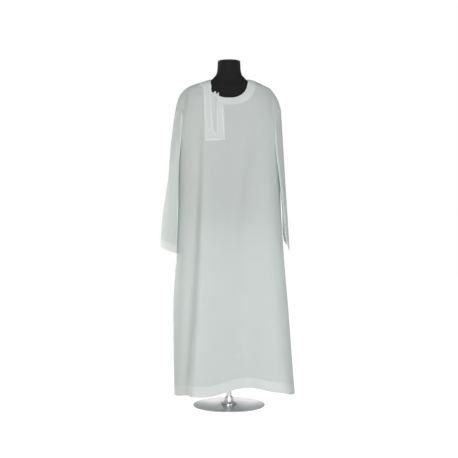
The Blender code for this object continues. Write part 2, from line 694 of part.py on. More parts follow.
def add_placket(cloth):
    """The topstitched panel over the zip: a U of cloth round the slot."""
    slot_left_top, right_lip = slot_edges(ZIP_LINE[0][1])
    neck_end = band_turn_at(slot_left_top, 0.0)
    neck_end_height = band_height(neck_end, -1, 0.0)
    inner, outer = [], []
    left_share = (PLACKET_LEFT[0][1] - neck_end_height) / (PLACKET_LEFT[0][1] - PLACKET_LEFT[1][1])
    edge_end = front_places([along(PLACKET_LEFT, left_share)])[0]
    for piece in range(STRIP_PIECES):
        share = piece / STRIP_PIECES
        turn = mix(seam_turn(-1, -1, NECK_HEIGHT), neck_end, share)
        inner.append((turn, band_height(turn, -1, 0.0)))
        turn = mix(seam_turn(-1, -1, BAND_HEIGHT), edge_end[0], share)

        def beyond(height, turn=turn):
            drop = (PLACKET_LEFT[0][1] - height) / (PLACKET_LEFT[0][1] - PLACKET_LEFT[1][1])
            return section_point(BODY_SECTIONS, turn, height).x < along(PLACKET_LEFT, drop)[0]
        outer.append((turn, bisect(edge_end[1] - HEM_DEPTH, BAND_HEIGHT, beyond)))

    shoulder_left, shoulder_right = slot_edges(SLOT_SHOULDER)
    corner_left, corner_right = PLACKET_LEFT[1], PLACKET_RIGHT[1]
    below_tip = along((corner_left, corner_right), PLACKET_TIP)
    left_at_shoulder = along(PLACKET_LEFT, (PLACKET_LEFT[0][1] - SLOT_SHOULDER)
                             / (PLACKET_LEFT[0][1] - corner_left[1]))
    right_at_shoulder = along(PLACKET_RIGHT, (PLACKET_RIGHT[0][1] - SLOT_SHOULDER)
                              / (PLACKET_RIGHT[0][1] - corner_right[1]))
    slot_top = (slot_left_top, neck_end_height)
    lip_top = (right_lip, band_height(band_turn_at(right_lip, 1.0), -1, 1.0) - SEAM)
    right_top_turn = band_turn_at(PLACKET_RIGHT[0][0], 1.0)
    right_top = (PLACKET_RIGHT[0][0], band_height(right_top_turn, -1, 1.0) - SEAM)
    inner_stops = [
        # from, to, pieces
        (slot_top, (shoulder_left, SLOT_SHOULDER), SIDE_PIECES[0]),
        ((shoulder_left, SLOT_SHOULDER), SLOT_FOOT[0], CORNER_PIECES[0]),
        (*SLOT_FOOT, 1),
        (SLOT_FOOT[1], (shoulder_right, SLOT_SHOULDER), CORNER_PIECES[1]),
        ((shoulder_right, SLOT_SHOULDER), lip_top, SIDE_PIECES[1]),
    ]
    for start, end, pieces in inner_stops:
        inner += front_places(spaced((start, end), pieces))
    inner += front_places([lip_top])
    outer += front_places(spaced((along(PLACKET_LEFT, left_share), left_at_shoulder), SIDE_PIECES[0]))
    outer += front_places([left_at_shoulder, corner_left, along((corner_left, below_tip), 0.5),
                           below_tip, along((below_tip, corner_right), 0.5), corner_right])
    outer += front_places(spaced((right_at_shoulder, right_top), SIDE_PIECES[1]))
    outer += front_places([right_top])
    places = ribbon(inner, outer, BAND_STEPS)
    places[-1] = []
    for step in range(BAND_STEPS + 1):
        x = mix(right_lip, PLACKET_RIGHT[0][0], step / BAND_STEPS)
        turn = band_turn_at(x, 1.0)
        places[-1].append((turn, band_height(turn, -1, 1.0) - SEAM))
    add_layer("placket", places, LAYER_GAP, CLOTH, cloth)


def foot_of_cut(edge):
    """Height of the foot of the front panel's cut at a distance from the zip's line."""
    whole = FRONT_COLUMNS_LEFT + FRONT_COLUMNS_RIGHT + 1
    feet = []
    for column, beside in ((FRONT_COLUMNS_LEFT, -CUT_LEFT), (FRONT_COLUMNS_LEFT + 1, CUT_RIGHT)):
        def turns(height, beside=beside):
            return turn_at(-1, zip_x(height) + beside, height)
        row = ROWS_YOKE + ROWS_ARMHOLE // 2
        feet.append(panel_place(column / whole, turns, row, FRONT_HEM, FRONT_NECK_DROP)[1])
    return mix(feet[0], feet[1], (edge + CUT_LEFT) / (CUT_LEFT + CUT_RIGHT))


def add_zip_tapes(tape_finish):
    """Both halves of the tape, in the cut of the front panel and under the placket."""
    for name, start, end in (("zip_tape_left", -CUT_LEFT + SEAM, -TAPE_PARTING),
                             ("zip_tape_right", TAPE_PARTING, CUT_RIGHT - SEAM)):
        edges = []
        for edge, top in zip((start, end), TAPE_TOPS[name]):
            foot = foot_of_cut(edge) + SEAM
            heights = [mix(top, foot, piece / TAPE_PIECES) for piece in range(TAPE_PIECES + 1)]
            edges.append([(turn_at(-1, zip_x(height) + edge, height), height) for height in heights])
        add_layer(name, ribbon(*edges, BAND_STEPS), -TAPE, TAPE, tape_finish)


# ---------------------------------------------------------------- the zip's hard pieces
def zip_frame(height):
    """Axes at a height on the zip's line: X across it, Y down it, Z out of the cloth."""
    def line_point(at):
        return body_point(turn_at(-1, zip_x(at), at), at)

    out = body_normal(turn_at(-1, zip_x(height), height), height)
    down = line_point(height - 0.005) - line_point(height + 0.005)
    down = (down - out * down.dot(out)).normalized()
    axes = Matrix((out.cross(down), down, out)).transposed().to_4x4()
    return Matrix.Translation(line_point(height)) @ axes


def grid_block(name, across, down, low, high, finish, skip=()):
    """A flat block from z low to high: rows at the places down it, as wide as across says."""
    upper = [[Vector((x * width, y, high)) for x in across] for y, width in down]
    lower = [[Vector((point.x, point.y, low)) for point in line] for line in upper]
    return add_wall(name, upper, lower, finish, skip)


def extruded(name, outline, ends, finish):
    """A solid from an outline of (x, z) points, between two (y, width scale) ends."""
    shape = bmesh.new()
    rings = [[shape.verts.new((x * scale, y, z)) for x, z in outline] for y, scale in ends]
    for index in range(len(outline)):
        beside = (index + 1) % len(outline)
        shape.faces.new([rings[0][index], rings[0][beside], rings[1][beside], rings[1][index]])
    shape.faces.new(list(reversed(rings[0])))
    shape.faces.new(rings[1])
    return add_object(name, shape, finish)


def add_zip_slider(finish):
    """Top and bottom plate on a web between the tapes, with an arch for the pull."""
    half_top = SLIDER_WIDTH / 2
    half_foot = half_top - SLIDER_BOTTOM_INSET
    floor, underside = -TAPE - SLIDER_BOTTOM[0], -TAPE - SLIDER_BOTTOM[1]
    roof, crown = SLIDER_PLATE
    in_corner, down_corner = half_top - SLIDER_CHAMFER[0], crown - SLIDER_CHAMFER[1]
    outline = [
        (-half_top, roof), (-SLIDER_WEB, roof), (-SLIDER_WEB, floor), (-half_foot, floor),
        (-half_foot, underside), (half_foot, underside), (half_foot, floor), (SLIDER_WEB, floor),
        (SLIDER_WEB, roof), (half_top, roof), (half_top, down_corner), (in_corner, crown),
        (-in_corner, crown), (-half_top, down_corner),
    ]
    place = zip_frame(SLIDER_HEIGHT)
    ends = ((-SLIDER_LENGTH / 2, 1.0), (SLIDER_LENGTH / 2, SLIDER_TAPER))
    slider = extruded("zip_slider", outline, ends, finish)
    slider.matrix_world = place
    low, high = crown - ARCH_SUNK, ARCH_TOP
    inner, outer = ARCH_SPAN / 2 - ARCH_WALL, ARCH_SPAN / 2
    corner = outer - ARCH_CORNER
    profile = [(-outer, low), (-outer, high - ARCH_WALL), (-corner, high), (corner, high),
               (outer, high - ARCH_WALL), (outer, low), (inner, low), (inner, high - ARCH_WALL),
               (-inner, high - ARCH_WALL), (-inner, low)]
    arch = extruded("arch_joined_to_slider", profile,
                    ((-ARCH_WIDTH / 2, 1.0), (ARCH_WIDTH / 2, 1.0)), finish)
    arch.matrix_world = place @ Matrix.Rotation(math.pi / 2, 4, "Z")
    union = slider.modifiers.new("arch", "BOOLEAN")
    union.operation = "UNION"
    union.object = arch
    bpy.context.view_layer.update()
    whole = slider.evaluated_get(bpy.context.evaluated_depsgraph_get())
    joined = bpy.data.meshes.new_from_object(whole)
    slider.modifiers.remove(union)
    slider.data = joined
    bpy.data.objects.remove(arch)


def add_zip_pull(finish):
    """The pull tab: its bar turns under the slider's arch."""
    bar = PULL_BAR / 2
    down = [(-bar, 1.0), (bar, 1.0), (PULL_HOLE, 1.0), *PULL_LEAF]
    hole, side = PULL_HALVES
    across = (-side, -hole, hole, side)
    pull = grid_block("zip_pull", across, down, -bar, bar, finish, skip=[(1, 1)])
    pull.matrix_world = zip_frame(SLIDER_HEIGHT) @ Matrix.Translation((0.0, PULL_AXIS[0], PULL_AXIS[1]))


def add_zip_stop(finish):
    """The stop clamped over the foot of the zip's teeth."""
    across, down = STOP_HALVES
    stop = grid_block("zip_bottom_stop", (-across, 0.0, across),
                      [(-down, 1.0), (0.0, 1.0), (down, 1.0)], SEAM, STOP_TOP, finish)
    stop.matrix_world = zip_frame(STOP_HEIGHT)


# ---------------------------------------------------------------- form and stand
def add_form(black, cap_finish):
    """Torso and neck in one smooth solid, and the flat cap on the neck."""
    shape = bmesh.new()
    rings = []
    for section in FORM_SECTIONS:
        turns = [FULL_TURN * side / FORM_SIDES for side in range(FORM_SIDES)]
        rings.append([shape.verts.new(section_point(FORM_SECTIONS, turn, section[0])) for turn in turns])
    for high, low in zip(rings, rings[1:]):
        for side in range(FORM_SIDES):
            beside = (side + 1) % FORM_SIDES
            shape.faces.new([low[side], low[beside], high[beside], high[side]])
    shape.faces.new(rings[0])
    shape.faces.new(list(reversed(rings[-1])))
    add_object("form_torso", shape, black)
    foot = FORM_SECTIONS[0][0] + SEAM
    top = foot + CAP_THICKNESS
    flat = CAP_RADIUS - CAP_CHAMFER
    add_turned("form_neck_cap", [
        (flat, foot), (CAP_RADIUS, foot + CAP_CHAMFER), (CAP_RADIUS, top - CAP_CHAMFER), (flat, top),
    ], cap_finish)


def add_stand(steel):
    """Base plate, boss, pole and the collar that carries the form."""
    flat = BASE_RADIUS - EDGE_CHAMFER
    boss_top = BASE_THICKNESS + BOSS_HEIGHT
    collar_top = FORM_SECTIONS[-1][0] - SEAM
    collar_foot = collar_top - COLLAR_HEIGHT
    add_turned("stand_base", [
        (flat, 0.0), (BASE_RADIUS, EDGE_CHAMFER), (BASE_RADIUS, BASE_THICKNESS - EDGE_CHAMFER),
        (flat, BASE_THICKNESS)], steel, sides=BASE_SIDES)
    add_turned("stand_boss", [
        (BOSS_RADII[0], BASE_THICKNESS + SEAM),
        *((radius, BASE_THICKNESS + height) for radius, height in BOSS_PROFILE),
        (BOSS_RADII[1], boss_top)], steel)
    add_turned("stand_pole", [(POLE_RADIUS, boss_top + SEAM), (POLE_RADIUS, collar_foot - SEAM)], steel)
    sleeve, flange = COLLAR_RADII
    add_turned("stand_collar", [
        (sleeve, collar_foot), (sleeve, collar_top - COLLAR_FLANGE[0]),
        (flange, collar_top - COLLAR_FLANGE[1]), (flange, collar_top)], steel)


def main():
    """Build every piece in an empty scene."""
    for old in list(bpy.data.objects):
        bpy.data.objects.remove(old)
    cloth = material("white cloth", (0.80, 0.82, 0.81), 0.75)
    tape_finish = material("white zip tape", (0.78, 0.80, 0.79), 0.70)
    black = material("black jersey", (0.012, 0.012, 0.013), 0.85)
    cap_finish = material("black cap", (0.015, 0.015, 0.016), 0.45)
    white_metal = material("white enamelled metal", (0.82, 0.83, 0.82), 0.35)
    steel = material("satin steel", (0.62, 0.62, 0.63), 0.35, metallic=1.0)
    add_body(cloth)
    add_sleeve("sleeve_left", -1, cloth)
    add_sleeve("sleeve_right", 1, cloth)
    add_neck_band(cloth)
    add_placket(cloth)
    add_zip_tapes(tape_finish)
    add_zip_slider(white_metal)
    add_zip_pull(white_metal)
    add_zip_stop(white_metal)
    add_form(black, cap_finish)
    add_stand(steel)


main()
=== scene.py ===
# %% [markdown]
# # A light alb on a dress form
# This lesson dresses a fixed frame: the robe's cloth, its zip, the black form and the stand already
# have their places and sizes as plain solids. Each step below replaces a plain solid with a finer
# piece, or gives it a finish. Everything is in metres, +Z up, and the robe's front faces -Y.

# %% Open the frame
import math

import bpy
import numpy as np
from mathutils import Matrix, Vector


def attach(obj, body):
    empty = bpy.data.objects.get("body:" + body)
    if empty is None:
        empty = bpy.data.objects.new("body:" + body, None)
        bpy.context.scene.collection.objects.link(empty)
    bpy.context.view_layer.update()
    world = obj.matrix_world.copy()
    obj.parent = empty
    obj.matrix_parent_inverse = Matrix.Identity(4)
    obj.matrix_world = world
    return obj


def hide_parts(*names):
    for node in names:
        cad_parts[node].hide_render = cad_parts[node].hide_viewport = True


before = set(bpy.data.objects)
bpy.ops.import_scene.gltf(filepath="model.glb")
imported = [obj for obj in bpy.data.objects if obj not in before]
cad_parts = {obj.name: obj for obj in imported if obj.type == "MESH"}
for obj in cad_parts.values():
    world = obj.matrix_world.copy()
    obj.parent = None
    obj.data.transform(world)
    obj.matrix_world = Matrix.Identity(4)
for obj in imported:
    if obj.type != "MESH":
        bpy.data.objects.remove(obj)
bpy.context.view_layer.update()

FORM_BODY = "robe_and_form"

# %% [markdown]
# ## The robe's measures
# A robe this plain is all cut: four pieces of cloth whose shape comes from level sections through
# the body, a few folds, an armhole on each side and a cuff at the end of each sleeve. A sculpted
# or simulated cloth would drift from those sizes. Short tables keep them, as a pattern cutter's
# chart does, and smooth curves are read between their rows.

# %% Level sections, folds and hems
BODY_SECTIONS = [
    # height, left, right, front, back, squareness
    (1.497, 0.0840, 0.0865, 0.0460, 0.0460, 2.20),
    (1.486, 0.1150, 0.1240, 0.0620, 0.0620, 2.30),
    (1.472, 0.1620, 0.1540, 0.0730, 0.0710, 2.40),
    (1.454, 0.1985, 0.1880, 0.0830, 0.0810, 2.40),
    (1.433, 0.2200, 0.2060, 0.0920, 0.0910, 2.40),
    (1.407, 0.2335, 0.2220, 0.1025, 0.1000, 2.50),
    (1.380, 0.2412, 0.2320, 0.1110, 0.1070, 2.50),
    (1.345, 0.2440, 0.2390, 0.1190, 0.1140, 2.55),
    (1.290, 0.2420, 0.2390, 0.1250, 0.1190, 2.65),
    (1.210, 0.2370, 0.2350, 0.1290, 0.1220, 2.80),
    (1.110, 0.2320, 0.2320, 0.1310, 0.1230, 3.00),
    (0.945, 0.2322, 0.2359, 0.1350, 0.1270, 3.25),
    (0.715, 0.2393, 0.2485, 0.1460, 0.1370, 3.30),
    (0.440, 0.2551, 0.2716, 0.1600, 0.1530, 3.20),
    (0.200, 0.2545, 0.2900, 0.1680, 0.1680, 3.00),
    (0.040, 0.2516, 0.3030, 0.1730, 0.1780, 2.90),
]
FRONT_FOLDS = [
    # top, foot, (across at top, middle, foot), spread left, spread right, (out at the same places)
    (1.340, 0.050, (-0.104, -0.121, -0.150), 0.022, 0.085, (0.0, 0.026, 0.044)),
    (1.300, 0.050, (-0.152, -0.168, -0.204), 0.030, 0.030, (0.0, -0.003, -0.014)),
    (1.380, 0.300, (0.160, 0.078, 0.034), 0.044, 0.090, (0.0, -0.012, -0.004)),
    (1.100, 0.050, (0.110, 0.072, 0.098), 0.075, 0.055, (0.0, -0.010, -0.042)),
    (1.150, 0.050, (0.165, 0.200, 0.236), 0.050, 0.045, (0.0, 0.011, 0.032)),
    (1.450, 1.340, (-0.196, -0.204, -0.208), 0.016, 0.016, (0.0, -0.006, 0.0)),
    (1.440, 1.310, (0.196, 0.198, 0.200), 0.016, 0.016, (0.0, -0.006, 0.0)),
]
BACK_FOLDS = [
    (1.260, 0.050, (-0.130, -0.145, -0.170), 0.045, 0.050, (0.0, 0.012, 0.030)),
    (1.150, 0.050, (-0.070, -0.075, -0.080), 0.035, 0.035, (0.0, -0.008, -0.022)),
    (1.200, 0.050, (0.000, 0.008, 0.018), 0.045, 0.045, (0.0, 0.010, 0.026)),
    (1.150, 0.050, (0.070, 0.085, 0.100), 0.035, 0.035, (0.0, -0.008, -0.024)),
    (1.280, 0.050, (0.130, 0.155, 0.190), 0.045, 0.045, (0.0, 0.012, 0.032)),
    (1.445, 1.330, (-0.186, -0.192, -0.196), 0.018, 0.018, (0.0, -0.006, 0.0)),
    (1.435, 1.300, (0.184, 0.190, 0.192), 0.018, 0.018, (0.0, -0.006, 0.0)),
]
FRONT_HEM = [
    # across, height
    (-0.252, 0.058), (-0.209, 0.066), (-0.158, 0.076), (-0.106, 0.075), (-0.073, 0.077),
    (-0.029, 0.087), (0.031, 0.103), (0.107, 0.105), (0.148, 0.101), (0.174, 0.095),
    (0.206, 0.091), (0.250, 0.086), (0.302, 0.066),
]
BACK_HEM = [
    (-0.252, 0.058), (-0.150, 0.050), (0.000, 0.053), (0.080, 0.056), (0.190, 0.054),
    (0.302, 0.066),
]
HEM_LEVEL = 0.050               # height at which a column's place in the hem's tables is read
CLOTH = 0.00045                 # one layer of the robe's cloth
print(len(BODY_SECTIONS), "sections,", len(FRONT_FOLDS) + len(BACK_FOLDS), "folds")

# %% [markdown]
# ## From a table to a surface
# Each column of the chart becomes a smooth curve that never overshoots its rows, and every place
# on the robe is then found from two numbers: the turn round the pole and the height. Working on
# whole arrays of places at once keeps a fine mesh quick to make.


# %% Curves through the chart
def smooth_columns(table, spacing=0.0005):
    """Heights and every other column of a table, on curves that never overshoot its rows."""
    rows = np.array(table)[::-1]
    heights, values = rows[:, 0], rows[:, 1:]
    steps = np.diff(heights)[:, None]
    rises = np.diff(values, axis=0) / steps
    below, above = rises[:-1], rises[1:]
    agree = below * above > 0
    slopes = np.empty_like(values)
    slopes[0], slopes[-1] = rises[0], rises[-1]
    slopes[1:-1] = np.where(agree, 2 * below * above / np.where(agree, below + above, 1), 0)
    at = np.arange(heights[0], heights[-1] + spacing / 2, spacing)
    row = np.clip(np.searchsorted(heights, at, side="right") - 1, 0, len(heights) - 2)
    s = ((at - heights[row]) / steps[row, 0])[:, None]
    curves = (values[row] * (2 * s**3 - 3 * s**2 + 1) + values[row + 1] * (3 * s**2 - 2 * s**3)
              + slopes[row] * steps[row] * (s**3 - 2 * s**2 + s)
              + slopes[row + 1] * steps[row] * (s**3 - s**2))
    return at, curves.T


ROBE = smooth_columns(BODY_SECTIONS)


def section(curves, height):
    """Left, right, front, back and squareness at each height."""
    return [np.interp(height, curves[0], column) for column in curves[1]]


def mix(a, b, share):
    return a + (b - a) * share


def through(values, share):
    """A curve through a start, a half-way and an end value."""
    start, middle, end = values
    return (start * (1 - share) * (1 - 2 * share) + middle * 4 * share * (1 - share)
            + end * share * (2 * share - 1))


def signed_power(value, power):
    return np.sign(value) * np.abs(value) ** power


print("chest is", round(float(sum(section(ROBE, 1.21)[:2])), 3), "m wide")


# %% Places on the body
def on_section(turn, height):
    """Across and depth of each place, with the reach and depth of its side of the section."""
    left, right, front, back, squareness = section(ROBE, height)
    cosine, sine = np.cos(turn), np.sin(turn)
    reach, depth = np.where(cosine >= 0, right, left), np.where(sine >= 0, back, front)
    power = 2 / squareness
    return (reach * signed_power(cosine, power), depth * signed_power(sine, power),
            reach, depth, squareness)


FOLD_TOP_WIDTH = 0.75           # a fold's width at its top, as a share of that at its foot
FOLD_END = 1.05                 # share of a fold's length at which it ends
SIDE_FADE = 1.5                 # how soon a fold fades out towards the side seam


def fold_push(folds, across, height):
    """How far the folds push the cloth out at each place."""
    total = np.zeros_like(across)
    for top, foot, path, spread_left, spread_right, out in folds:
        share = (top - height) / (top - foot)
        away = across - through(path, share)
        spread = np.where(away < 0, spread_left, spread_right) * mix(FOLD_TOP_WIDTH, 1, share)
        push = through(out, share) * np.exp(-((away / spread) ** 2))
        total += np.where((share > 0) & (share < FOLD_END), push, 0)
    return total


def body(turn, height):
    """Places on the outside of the robe's body; turn 0 is the right side, -90 degrees the front."""
    turn, height = np.broadcast_arrays(turn, height)
    x, y, reach, depth, squareness = on_section(turn, height)
    out_x = signed_power(x / reach, squareness - 1) / reach
    out_y = signed_power(y / depth, squareness - 1) / depth
    push = np.where(y >= 0, fold_push(BACK_FOLDS, x, height), fold_push(FRONT_FOLDS, x, height))
    push = push * np.minimum(1, SIDE_FADE * np.abs(y) / depth) / np.hypot(out_x, out_y)
    return np.stack([x + out_x * push, y + out_y * push, height], -1)


def body_out(turn, height, step=0.01, rise=0.002):
    """Outward direction of the robe's body at each place."""
    high = np.minimum(height + rise, BODY_SECTIONS[0][0])
    across = body(turn + step, height) - body(turn - step, height)
    return unit(np.cross(across, body(turn, high) - body(turn, high - 2 * rise)))


def unit(vectors):
    return vectors / np.maximum(np.linalg.norm(vectors, axis=-1, keepdims=True), 1e-12)


def turn_at(face, x, height):
    """Turn of the place at x on one face: -1 front, 1 back."""
    left, right, _front, _back, squareness = section(ROBE, height)
    share = np.minimum(1, np.abs(x) / np.where(x >= 0, right, left))
    return face * np.arccos(np.copysign(share ** (squareness / 2), x))


print("front of the chest is at", body(np.array(-math.pi / 2), np.array(1.3)).round(4))

# %% [markdown]
# ## Armholes and the neck's edge
# Front and back meet in a straight line down each side and along each shoulder, but round the
# armhole both stop short, and the sleeve is sewn in there. On the real robe that edge is a long
# oval. Here one function gives the turn of a panel's side edge at any height, so that panels,
# sleeves and their seams all read the same line.

# %% Edges of the panels
ARMHOLES = {
    # side: shoulder tip height, underarm height, front bulge, back bulge
    -1: (1.386, 1.122, 0.081, 0.072),
    1: (1.352, 1.092, 0.084, 0.074),
}
ARMHOLE_FULLNESS = (0.65, 0.32)
NECK_SQUARENESS = 2.5
NECK_HEIGHT, BAND_HEIGHT = 1.497, 1.4866
NECK_DROPS = {-1: (0.097, 0.118), 1: (0.024, 0.046)}    # face: at the neck's edge, at the band's
HALVINGS = 40                   # steps in which the neck's height is closed in on


def seam_turn(face, side, height):
    """Turn of a panel's side, shoulder or armhole edge at each height."""
    _left, _right, front, back, squareness = section(ROBE, height)
    tip, underarm, front_bulge, back_bulge = ARMHOLES[side]
    rise = (height - (tip + underarm) / 2) / ((tip - underarm) / 2)
    power = mix(*ARMHOLE_FULLNESS, (1 + rise) / 2) / 2
    bulge = front_bulge if face < 0 else back_bulge
    bulge = np.where(np.abs(rise) < 1, bulge * np.maximum(0, 1 - rise**2) ** np.abs(power), 0)
    edge = np.arcsin((bulge / (front if face < 0 else back)) ** (squareness / 2))
    return face * (edge if side > 0 else math.pi - edge)


def neck_height(turns, shoulder, drop):
    """Height where each column of the body meets a neck edge; turns gives its turn at a height."""
    left, right = section(ROBE, shoulder)[:2]
    low = np.zeros_like(turns(shoulder)) + shoulder - drop
    high = low + drop
    for _halving in range(HALVINGS):
        middle = (low + high) / 2
        x = on_section(turns(middle), middle)[0]
        half = np.where(x >= 0, right, left)
        inside = (np.abs(x) / half) ** NECK_SQUARENESS + (
            (shoulder - middle) / drop) ** NECK_SQUARENESS >= 1
        low, high = np.where(inside, middle, low), np.where(inside, high, middle)
    return (low + high) / 2


print("front neck is", round(float(NECK_HEIGHT - neck_height(
    lambda h: np.full(1, -math.pi / 2), NECK_HEIGHT, NECK_DROPS[-1][0])[0]), 3), "m deep")

# %% [markdown]
# ## Cloth as sheets
# Real cloth is a thin sheet that is turned under at every edge: round the seams, at the hem and at
# the cuffs. A box or a blown-up solid would lose that. A grid of places is the plainest sheet to
# make in code: rows run down the robe and columns across it. One helper adds the turned-in edge,
# another lets the cloth dip into its seam, and a third makes the mesh, with a UV map in metres of
# real cloth, so that the weave keeps its size everywhere.

# %% Edges that turn under
SEAM_TURN = [(0.0002, 0.0004), (0.0012, 0.0010), (0.0060, 0.0011), (0.0110, 0.0011)]


def lengths_along(places):
    """Distance along each row of a grid from its first column."""
    steps = np.linalg.norm(np.diff(places, axis=1), axis=2)
    return np.concatenate([np.zeros((len(places), 1)), np.cumsum(steps, axis=1)], axis=1)


def grid_out(places):
    """Outward direction at each place of a grid with rows down and columns left to right."""
    return unit(np.cross(np.gradient(places, axis=1), -np.gradient(places, axis=0)))


def turned_in(places, out, steps):
    """Columns past a grid's last one: each step is a distance back from it and a depth inside."""
    back, away = lengths_along(places[:, ::-1]), places[:, ::-1]
    beyond = unit(places[:, -1] - places[:, -2])
    extra = []
    for distance, depth in steps:
        distance = np.broadcast_to(distance, len(places))
        depth = np.broadcast_to(depth, len(places))[:, None]
        line = np.array([[np.interp(d, along, row[:, axis]) for axis in range(3)]
                         for d, along, row in zip(np.maximum(distance, 0), back, away)])
        line += beyond * np.maximum(-distance, 0)[:, None]
        extra.append(line - out[:, -1] * depth)
    return np.stack(extra, axis=1)


def with_turned_edges(places, steps, edges):
    """The grid with its named edges turned under, and how many rows and columns went before."""
    before = [0, 0]
    for edge in edges:
        order = (1, 0, 2) if edge in ("top", "foot") else (0, 1, 2)
        way = -1 if edge in ("top", "left") else 1
        turned, out = (grid.transpose(order)[:, ::way] for grid in (places, grid_out(places)))
        longer = np.concatenate([turned, turned_in(turned, out, steps)], axis=1)
        places = longer[:, ::way].transpose(order)
        before[0] += len(steps) * (edge == "top")
        before[1] += len(steps) * (edge == "left")
    return places, before


def roll(gap, depth=0.0008, run=0.0018):
    """How deep the cloth rolls into a seam at a distance from it."""
    return (depth * np.exp(-((gap / run) ** 2)))[..., None]


def seam_dip(places, out):
    """The grid with the cloth rolled inwards into the seams at its left and right edges."""
    across = lengths_along(places)
    return places - out[:, :1] * roll(across) - out[:, -1:] * roll(across[:, -1:] - across)


print("a seam turns", SEAM_TURN[-1][0] * 1000, "mm of cloth under")


# %% A grid becomes a sheet
def cloth_map(places, middle):
    """Each place's own place on the flat cloth: across along the rows, and up square to them."""
    row, column = middle
    across, along_row = lengths_along(places), unit(np.gradient(places, axis=1))[1:]
    steps = np.diff(places, axis=0)
    steps -= along_row * (steps * along_row).sum(-1, keepdims=True)
    down = np.concatenate([np.zeros((1, places.shape[1])),
                           np.cumsum(np.linalg.norm(steps, axis=2), axis=0)])
    return across - across[:, [column]], down[[row]] - down


def last_rows(places, count):
    """True for the last rows of cells of a grid."""
    return np.arange(len(places) - 1) >= len(places) - 1 - count


def put_in_scene(name, data):
    """A new object in the scene, at the origin, that carries the data."""
    made = bpy.data.objects.new(name, data)
    bpy.context.scene.collection.objects.link(made)
    return made


def sheet_from(name, places, middle=(0, 0), skip=None, thick=CLOTH, layered=None):
    """A mesh sheet from a grid, with a UV map in metres measured from the middle place.

    The rows of cells that layered marks lie on turned-in cloth and take the sheet's second finish,
    whose whiter colour is a painted highlight on the doubled cloth.
    """
    rows, columns = places.shape[:2]
    u, v = cloth_map(places, middle)
    number = np.arange(rows * columns).reshape(rows, columns)
    cells = np.stack([number[:-1, :-1], number[1:, :-1], number[1:, 1:], number[:-1, 1:]], -1)
    keep = np.ones(cells.shape[:2], bool) if skip is None else ~skip
    faces = cells[keep].reshape(-1, 4)
    used, faces = np.unique(faces, return_inverse=True)
    faces = faces.reshape(-1, 4)
    mesh = bpy.data.meshes.new(name)
    mesh.from_pydata(places.reshape(-1, 3)[used], [], faces)
    uv = np.stack([u, v], -1).reshape(-1, 2)[used][faces.ravel()]
    mesh.uv_layers.new(name="cloth").data.foreach_set("uv", uv.astype(np.float32).ravel())
    mesh.shade_smooth()
    if layered is not None:
        finish = np.repeat(layered[:, None], columns - 1, axis=1)[keep].astype(np.int32)
        mesh.polygons.foreach_set("material_index", finish)
    made = put_in_scene(name, mesh)
    wall = made.modifiers.new("thickness", "SOLIDIFY")
    wall.thickness, wall.offset = thick, -1
    size = (float(np.ptp(uv[:, 0])), float(np.ptp(uv[:, 1])))
    area = sum(p.area for p in mesh.polygons)
    print(f"{name}: {len(faces)} faces, cut {size[0]:.2f} x {size[1]:.2f} m, {area:.3f} m2")
    return made, size, area


# %% [markdown]
# ## Front and back
# Each panel is one piece from shoulder to hem. The front is cut down from the neck for the zip.
# Rows follow the garment's landmarks: neck to shoulder tip, shoulder tip to underarm, underarm to
# hem. They crowd together where a stitch line pulls the hem's two layers into each other, because a
# dip can only show where there are faces to carry it.

# %% Rows and columns of a panel
ZIP_LINE = ((-0.0622, 1.4250), (-0.0590, 1.2400))      # (across, height) at its top and foot
CUT_LEFT, CUT_RIGHT = 0.0200, 0.0130                   # from the zip's line to the cut's edges
YOKE_SAG, YOKE_CROWD = 0.045, 1.3                      # of the rows between neck and shoulder tip
HEM_ROWS = np.array([0.0540, 0.0520, 0.0506, 0.0497, 0.0490, 0.0483, 0.0475, 0.0460, 0.0420,
                     0.0360, 0.0300, 0.0240, 0.0180, 0.0120, 0.0070, 0.0030, 0.0010, 0.0])
HEM_STITCH, HEM_LEAD = 0.0483, 0.004                   # the stitched row; the step above them all
TURN_STEP = 0.00018             # how far the turned-up layer stands out
STITCH_DIP = [0.0001, 0.00022, 0.0004, 0.0002, 0.0]    # depth from two rows above a stitched one
THREAD_PROUD = 0.0001           # how far the thread's middle stands off the cloth
SEAM_CROWD = (0, 0.0004, 0.0009, 0.0015, 0.0023, 0.0035)     # columns beside a seam
HEM_TURN = [(-0.0004, 0.0005), (0.0, 0.0011), (0.004, 0.0012), (0.015, 0.0012), (0.027, 0.0012),
            (0.039, 0.0012), (0.0498, 0.0012), (0.0500, 0.0019), (0.0490, 0.0023), (0.0430, 0.0023)]


def near_edges(count, width):
    """Shares across a width, crowded at both ends for the cloth's roll into its seams."""
    *crowd, inside = np.array(SEAM_CROWD) / width
    middle = np.linspace(inside, 1 - inside, count)
    return np.concatenate([crowd, middle, 1 - np.array(crowd[::-1])])


def crowded(count, power=4):
    """Shares from 0 to 1 in steps that are very short at both ends."""
    share = np.linspace(0, 1, count)
    return share**power / (share**power + (1 - share) ** power)


FINE_STEPS = 2000               # steps in which half an armhole is measured


def armhole_heights(face, side, rows):
    """Heights down a panel's armhole, in even steps along its curve, from tip to underarm."""
    tip, underarm = ARMHOLES[side][:2]
    height = mix(tip, underarm, (1 - np.cos(math.pi * crowded(2 * FINE_STEPS + 1))) / 2)
    along = lengths_along(body(seam_turn(face, side, height), height)[None])[0]
    return np.interp(np.arange(rows) / rows * along[-1], along, height)


def zip_x(height):
    """Where the zip's line is across the front at each height."""
    share = (ZIP_LINE[0][1] - height) / (ZIP_LINE[0][1] - ZIP_LINE[1][1])
    return mix(ZIP_LINE[0][0], ZIP_LINE[1][0], np.clip(share, -1, 2))


ARMHOLE_REACH = 0.15            # share of the panel over which its rows bend to meet the armhole


